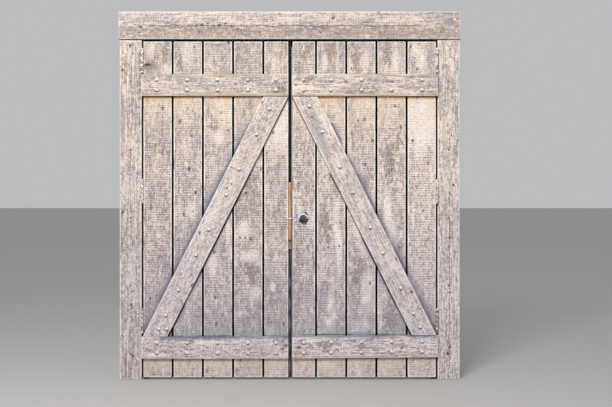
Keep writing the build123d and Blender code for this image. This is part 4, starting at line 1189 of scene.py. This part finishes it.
@dataclass
class Ironwork:
    """The hinges, nails, bolts and lock, which keep the shapes of the CAD model."""
    left_hinges: ChippedPaint = ChippedPaint("chipped_cream_paint_on_left_hinges", "#efece8", "#70584b",
                                             0.45, 9.0, 0.03)
    right_hinges: ChippedPaint = ChippedPaint("chipped_cream_paint_on_right_hinges", "#e4e3e0", "#87654a",
                                              0.45, 12.0, 0.08)
    rusty: DullMetal = DullMetal("rusted_steel", "#80604c", "#4b352b", 0.75, 0.35, 4.0)
    zinc: DullMetal = DullMetal("dulled_zinc_plate", "#a9abab", "#6f7273", 0.45)
    # The strike plate is coloured paler than its steel, to paint the glint along its lip.
    strike_glint_steel: DullMetal = DullMetal("bright_steel_strike", "#e2e0dc", "#a8a5a2", 0.5, 0.4)
    nickel: DullMetal = DullMetal("worn_nickel_plate", "#b4b6bd", "#6b6a6e", 0.4, 0.9, 8.0)
    # The lock faces carry painted glints and a painted highlight on top of the rim.
    collar: LockFace = LockFace("blackened_lock_collar", "lock_collar", "#77787d", "#cfd6e4", "#4a494d")
    cylinder: LockFace = LockFace("blackened_lock_cylinder", "lock_cylinder", "#c9c6c0", "#6a6a70", "#2c2b2e")
    brass: DullMetal = DullMetal("tarnished_brass", "#8f8978", "#2c2823", 0.45, 0.9, 3.0)

    def finishes(self) -> dict[str, ChippedPaint | DullMetal | LockFace]:
        """Pairs each slot of the record, or a single node where it differs, with its finish."""
        return {"painted_hinge": self.left_hinges, "right_frame_hinge_leaves": self.right_hinges,
                "right_door_hinge_leaves": self.right_hinges, "rusty_steel": self.rusty,
                "zinc_steel": self.zinc, "lock_nickel": self.nickel, "lock_collar": self.collar,
                "lock_cylinder": self.cylinder, "strike_plate": self.strike_glint_steel, "brass": self.brass}

    def dress(self) -> None:
        """Puts the finishes on the pieces that nothing else stands for."""
        made = {name: finish.build() for name, finish in self.finishes().items()}
        for name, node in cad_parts.items():
            for place in node.material_slots:
                slot = place.material.name if place.material else ""
                if name in made or slot in made:
                    place.material = made.get(name) or made[slot]
        LOG.info("ironwork")


@dataclass
class Studio:
    """A plain pale floor, soft light and the camera, in metres."""
    eye: Place = (0.103, -5.4085, 1.110)
    lens: float = 50.0
    sensor: float = 36.0
    floor_size: float = 400.0
    floor_colour: str = "#b9b7b5"
    sky: str = "#eef0f2"
    sky_strength: float = 0.58
    key_power: float = 270.0
    key_place: Place = (-1.1, -4.6, 4.3)
    key_aim: Place = (0.0, 0.0, 1.2)
    key_size: float = 1.8

    def build(self) -> None:
        """Makes the studio."""
        mesh = bmesh.new()
        bmesh.ops.create_grid(mesh, x_segments=2, y_segments=2, size=self.floor_size / 2)
        floor = new_object(mesh, "floor")
        material, tree, _ = new_material("plain_pale_floor")
        close_material(tree, {"Base Color": linear(self.floor_colour), "Roughness": 0.8})
        floor.data.materials.append(material)

        world = bpy.data.worlds.new("plain_sky")
        world.use_nodes = True
        background = world.node_tree.nodes["Background"]
        background.inputs["Color"].default_value = linear(self.sky)
        background.inputs["Strength"].default_value = self.sky_strength
        bpy.context.scene.world = world

        lamp = bpy.data.lights.new("soft_key", "AREA")
        lamp.energy, lamp.size = self.key_power, self.key_size
        key = bpy.data.objects.new("soft_key", lamp)
        key.location = self.key_place
        aim = Vector(self.key_aim) - Vector(self.key_place)
        key.rotation_euler = aim.to_track_quat("-Z", "Y").to_euler()
        bpy.context.scene.collection.objects.link(key)

        lens = bpy.data.cameras.new("camera")
        lens.lens, lens.sensor_width = self.lens, self.sensor
        camera = bpy.data.objects.new("camera", lens)
        camera.location = self.eye
        camera.rotation_euler = (math.radians(90), 0.0, 0.0)
        bpy.context.scene.collection.objects.link(camera)
        bpy.context.scene.camera = camera
        bpy.context.scene.view_settings.view_transform = "Standard"
        LOG.info("studio")


BOLT_PAINT = ChippedPaint("chipped_cream_paint_on_bolts", "#e6e0d8", "#8a6a55", 0.2, 7.0)

# The marks on the boards stand where the photograph shows them.
LEFT_LEAF = Leaf(
    Side.LEFT, BOLT_PAINT, rail_tone={"top": 0.87, "bottom": 0.97},
    planks=(
        PlankLook(0.91, 0.46, 0.6, (
            *knot(-542, 5, 8), Patch(-162, -7, 16, 18), Blot("#8c7d78", 905, 48, 34, 44, 0.75, 0.7),
            Blot("#3f3029", 912, 66, 9, 26, 0.9, 0.4), Patch(1000, -50, 60, 20, THIN),
            Patch(875, -48, 34, 26), *knot(404, 16, 9), *knot(440, -20, 5), Patch(1000, 45, 40, 22))),
        PlankLook(0.93, 0.50, 0.4, (
            Patch(985, 5, 75, 34), Patch(930, 50, 60, 18, THIN), Blot("#6b5a4e", 1015, 0, 16, 3, 0.8, 0.3),
            Blot("#6b5a4e", 995, -16, 20, 3, 0.7, 0.3), *knot(620, -30, 6), Patch(-7, -22, 50, 26),
            Patch(-515, -40, 50, 18))),
        PlankLook(0.95, 0.52, 0.5, (
            *knot(933, 25, 8), *knot(612, -19, 7), *knot(498, -63, 9), *knot(1053, -66, 12),
            Patch(520, 30, 14, 44, THIN), Patch(455, 0, 34, 30), Patch(-331, 37, 80, 26),
            Patch(-118, -64, 70, 12))),
        PlankLook(0.96, 0.42, 0.4, (
            *knot(-180, 20, 7), Patch(-130, 30, 60, 40), Patch(-294, -10, 34, 60),
            Patch(-420, -20, 90, 30, THIN), Patch(-530, -40, 42, 34))),
        PlankLook(0.98, 0.46, 0.6, (
            Patch(570, 0, 170, 100, 0.3), *knot(330, -45, 7), *knot(81, 37, 6), *knot(-60, 30, 6),
            Patch(-492, 22, 26, 14), Patch(1010, -56, 60, 26, THIN), Patch(-770, 40, 24, 20)))),
    rail_marks={
        "top": (*knot(130, 6, 9), *knot(430, -20, 10), Patch(400, -30, 40, 20, THIN)),
        "bottom": (*knot(446, 15, 12), *knot(425, -10, 9), Blot("#7a6f6c", -150, 40, 30, 12, 0.7, 0.4),
                   Patch(-60, 35, 120, 10), Patch(-370, -45, 70, 12))},
    brace_marks=(
        Blot("#2e231f", 320, 40, 4, 34, 0.9, 0.15), Blot("#d8c4b0", 285, 30, 40, 30, 0.4, 0.9),
        *knot(225, 0, 6), *knot(190, 15, 8), *knot(660, 20, 6), *knot(-420, 30, 6)))

RIGHT_LEAF = Leaf(
    Side.RIGHT, BOLT_PAINT, rail_tone={"top": 0.95, "bottom": 1.06},
    planks=(
        PlankLook(1.08, 0.56, 0.6, (
            Patch(570, 0, 170, 100, 0.3), *knot(700, 30, 5), Patch(940, 10, 60, 26),
            Blot("#908f9b", 960, -50, 70, 18, 0.4, 1.2), Patch(1010, 50, 40, 18))),
        PlankLook(1.06, 0.50, 0.5, (
            Patch(980, 34, 80, 24, THIN), Patch(930, -30, 60, 20), Patch(440, -40, 60, 26, THIN),
            *knot(517, -60, 10), *knot(253, -2, 8), Patch(300, 10, 130, 34, THIN), Patch(-60, 25, 170, 22),
            Patch(-200, 10, 110, 48), Patch(-330, -38, 190, 30, THIN), Patch(-700, 10, 110, 40, THIN),
            Patch(-680, 74, 110, 12))),
        PlankLook(1.03, 0.48, 0.5, (
            Patch(970, 30, 80, 30, THIN), Patch(940, -30, 60, 18), *knot(560, 20, 7), *knot(480, 60, 9),
            Patch(-130, 0, 150, 50), Patch(-210, 30, 70, 34, THIN), Patch(-400, 0, 120, 56, THIN),
            Patch(-500, -30, 120, 34), Patch(-745, 0, 40, 55), Blot("#8f97b0", -782, 10, 14, 60, 0.7, 0.5))),
        PlankLook(1.04, 0.48, 0.4, (
            Patch(990, 0, 70, 28, THIN), Patch(930, 40, 60, 18), Patch(-150, -32, 60, 14),
            *knot(-520, -30, 6), Patch(-250, -50, 130, 18), Patch(-100, 30, 150, 30, THIN),
            Blot("#8187a2", -560, 62, 90, 12, 0.5, 0.8), Patch(-640, 0, 100, 22), Patch(-720, 22, 40, 26))),
        PlankLook(1.02, 0.47, 0.6, (
            *knot(380, 20, 6), *knot(395, -30, 5), *knot(-188, -38, 5),
            Blot("#a08a5c", -213, 14, 9, 7, 0.7, 0.4), Patch(990, -20, 60, 34, THIN)))),
    rail_marks={
        "top": (*knot(-120, 21, 9), *knot(-435, 0, 8), Patch(-380, 35, 60, 22, THIN)),
        "bottom": (*knot(-416, -3, 13), *knot(-395, 30, 8), Patch(-250, 10, 80, 16, THIN),
                   *knot(150, -25, 6))},
    brace_marks=(
        *knot(-334, -56, 9), *knot(-560, -50, 11), *knot(700, 20, 9), *knot(640, -20, 6),
        Blot("#9a9aa2", 560, 30, 150, 30, 0.5, 0.6)))

FRAME_BOARDS = Surround(
    header_marks=(
        Patch(0, -44, 1900, 44, -0.13),
        *(Blot("#4f3d33", -590 + 37 * i, 2 + 7 * (i % 3 - 1), 12, 5, 0.95, 0.25) for i in range(7)),
        Blot("#8b8b90", 1010, 20, 34, 26, 0.6, 0.5), Blot("#f0ebe6", 1040, 37, 9, 7, 0.9, 0.2),
        *(Blot("#c79a62", 300 + 95 * i, -22 + 11 * (i * 2 % 3), 52, 4, 0.6, 0.5) for i in range(8)),
        Blot("#6f5c50", -600, 68, 22, 4, 0.7, 0.3), Blot("#9c9aa0", -1020, -30, 60, 20, 0.5, 0.5)),
    left_marks=(
        Blot("#a2642f", 925, 22, 34, 3, 0.8, 0.2), Blot("#b07a46", 560, 18, 40, 3, 0.7, 0.2),
        *(Blot("#77706f", 980 - 46 * i, -58, 20, 9, 0.7, 0.5) for i in range(7)),
        Blot("#a89084", -950, -5, 130, 5, 0.7, 0.4), Blot("#6b5747", -1000, 0, 60, 3, 0.8, 0.3),
        Blot("#9b8f92", 560, 50, 160, 16, 0.6, 0.5)),
    right_marks=(
        Blot("#868697", 905, 22, 14, 24, 0.6, 0.7), Blot("#c7a163", 820, -8, 36, 5, 0.8, 0.3),
        *(Blot("#3f3129", -175 - 345 * i, -4, 5, 16, 0.85, 0.2) for i in range(3)),
        Blot("#cdb27e", 520, 30, 120, 8, 0.6, 0.5)))


def main() -> None:
    """Builds every class in order."""
    FRAME_BOARDS.build()
    LEFT_LEAF.build()
    RIGHT_LEAF.build()
    MeetingStrips().build()
    Ironwork().dress()
    Studio().build()


if __name__ == "__main__":
    logging.basicConfig(level=logging.INFO)
    main()
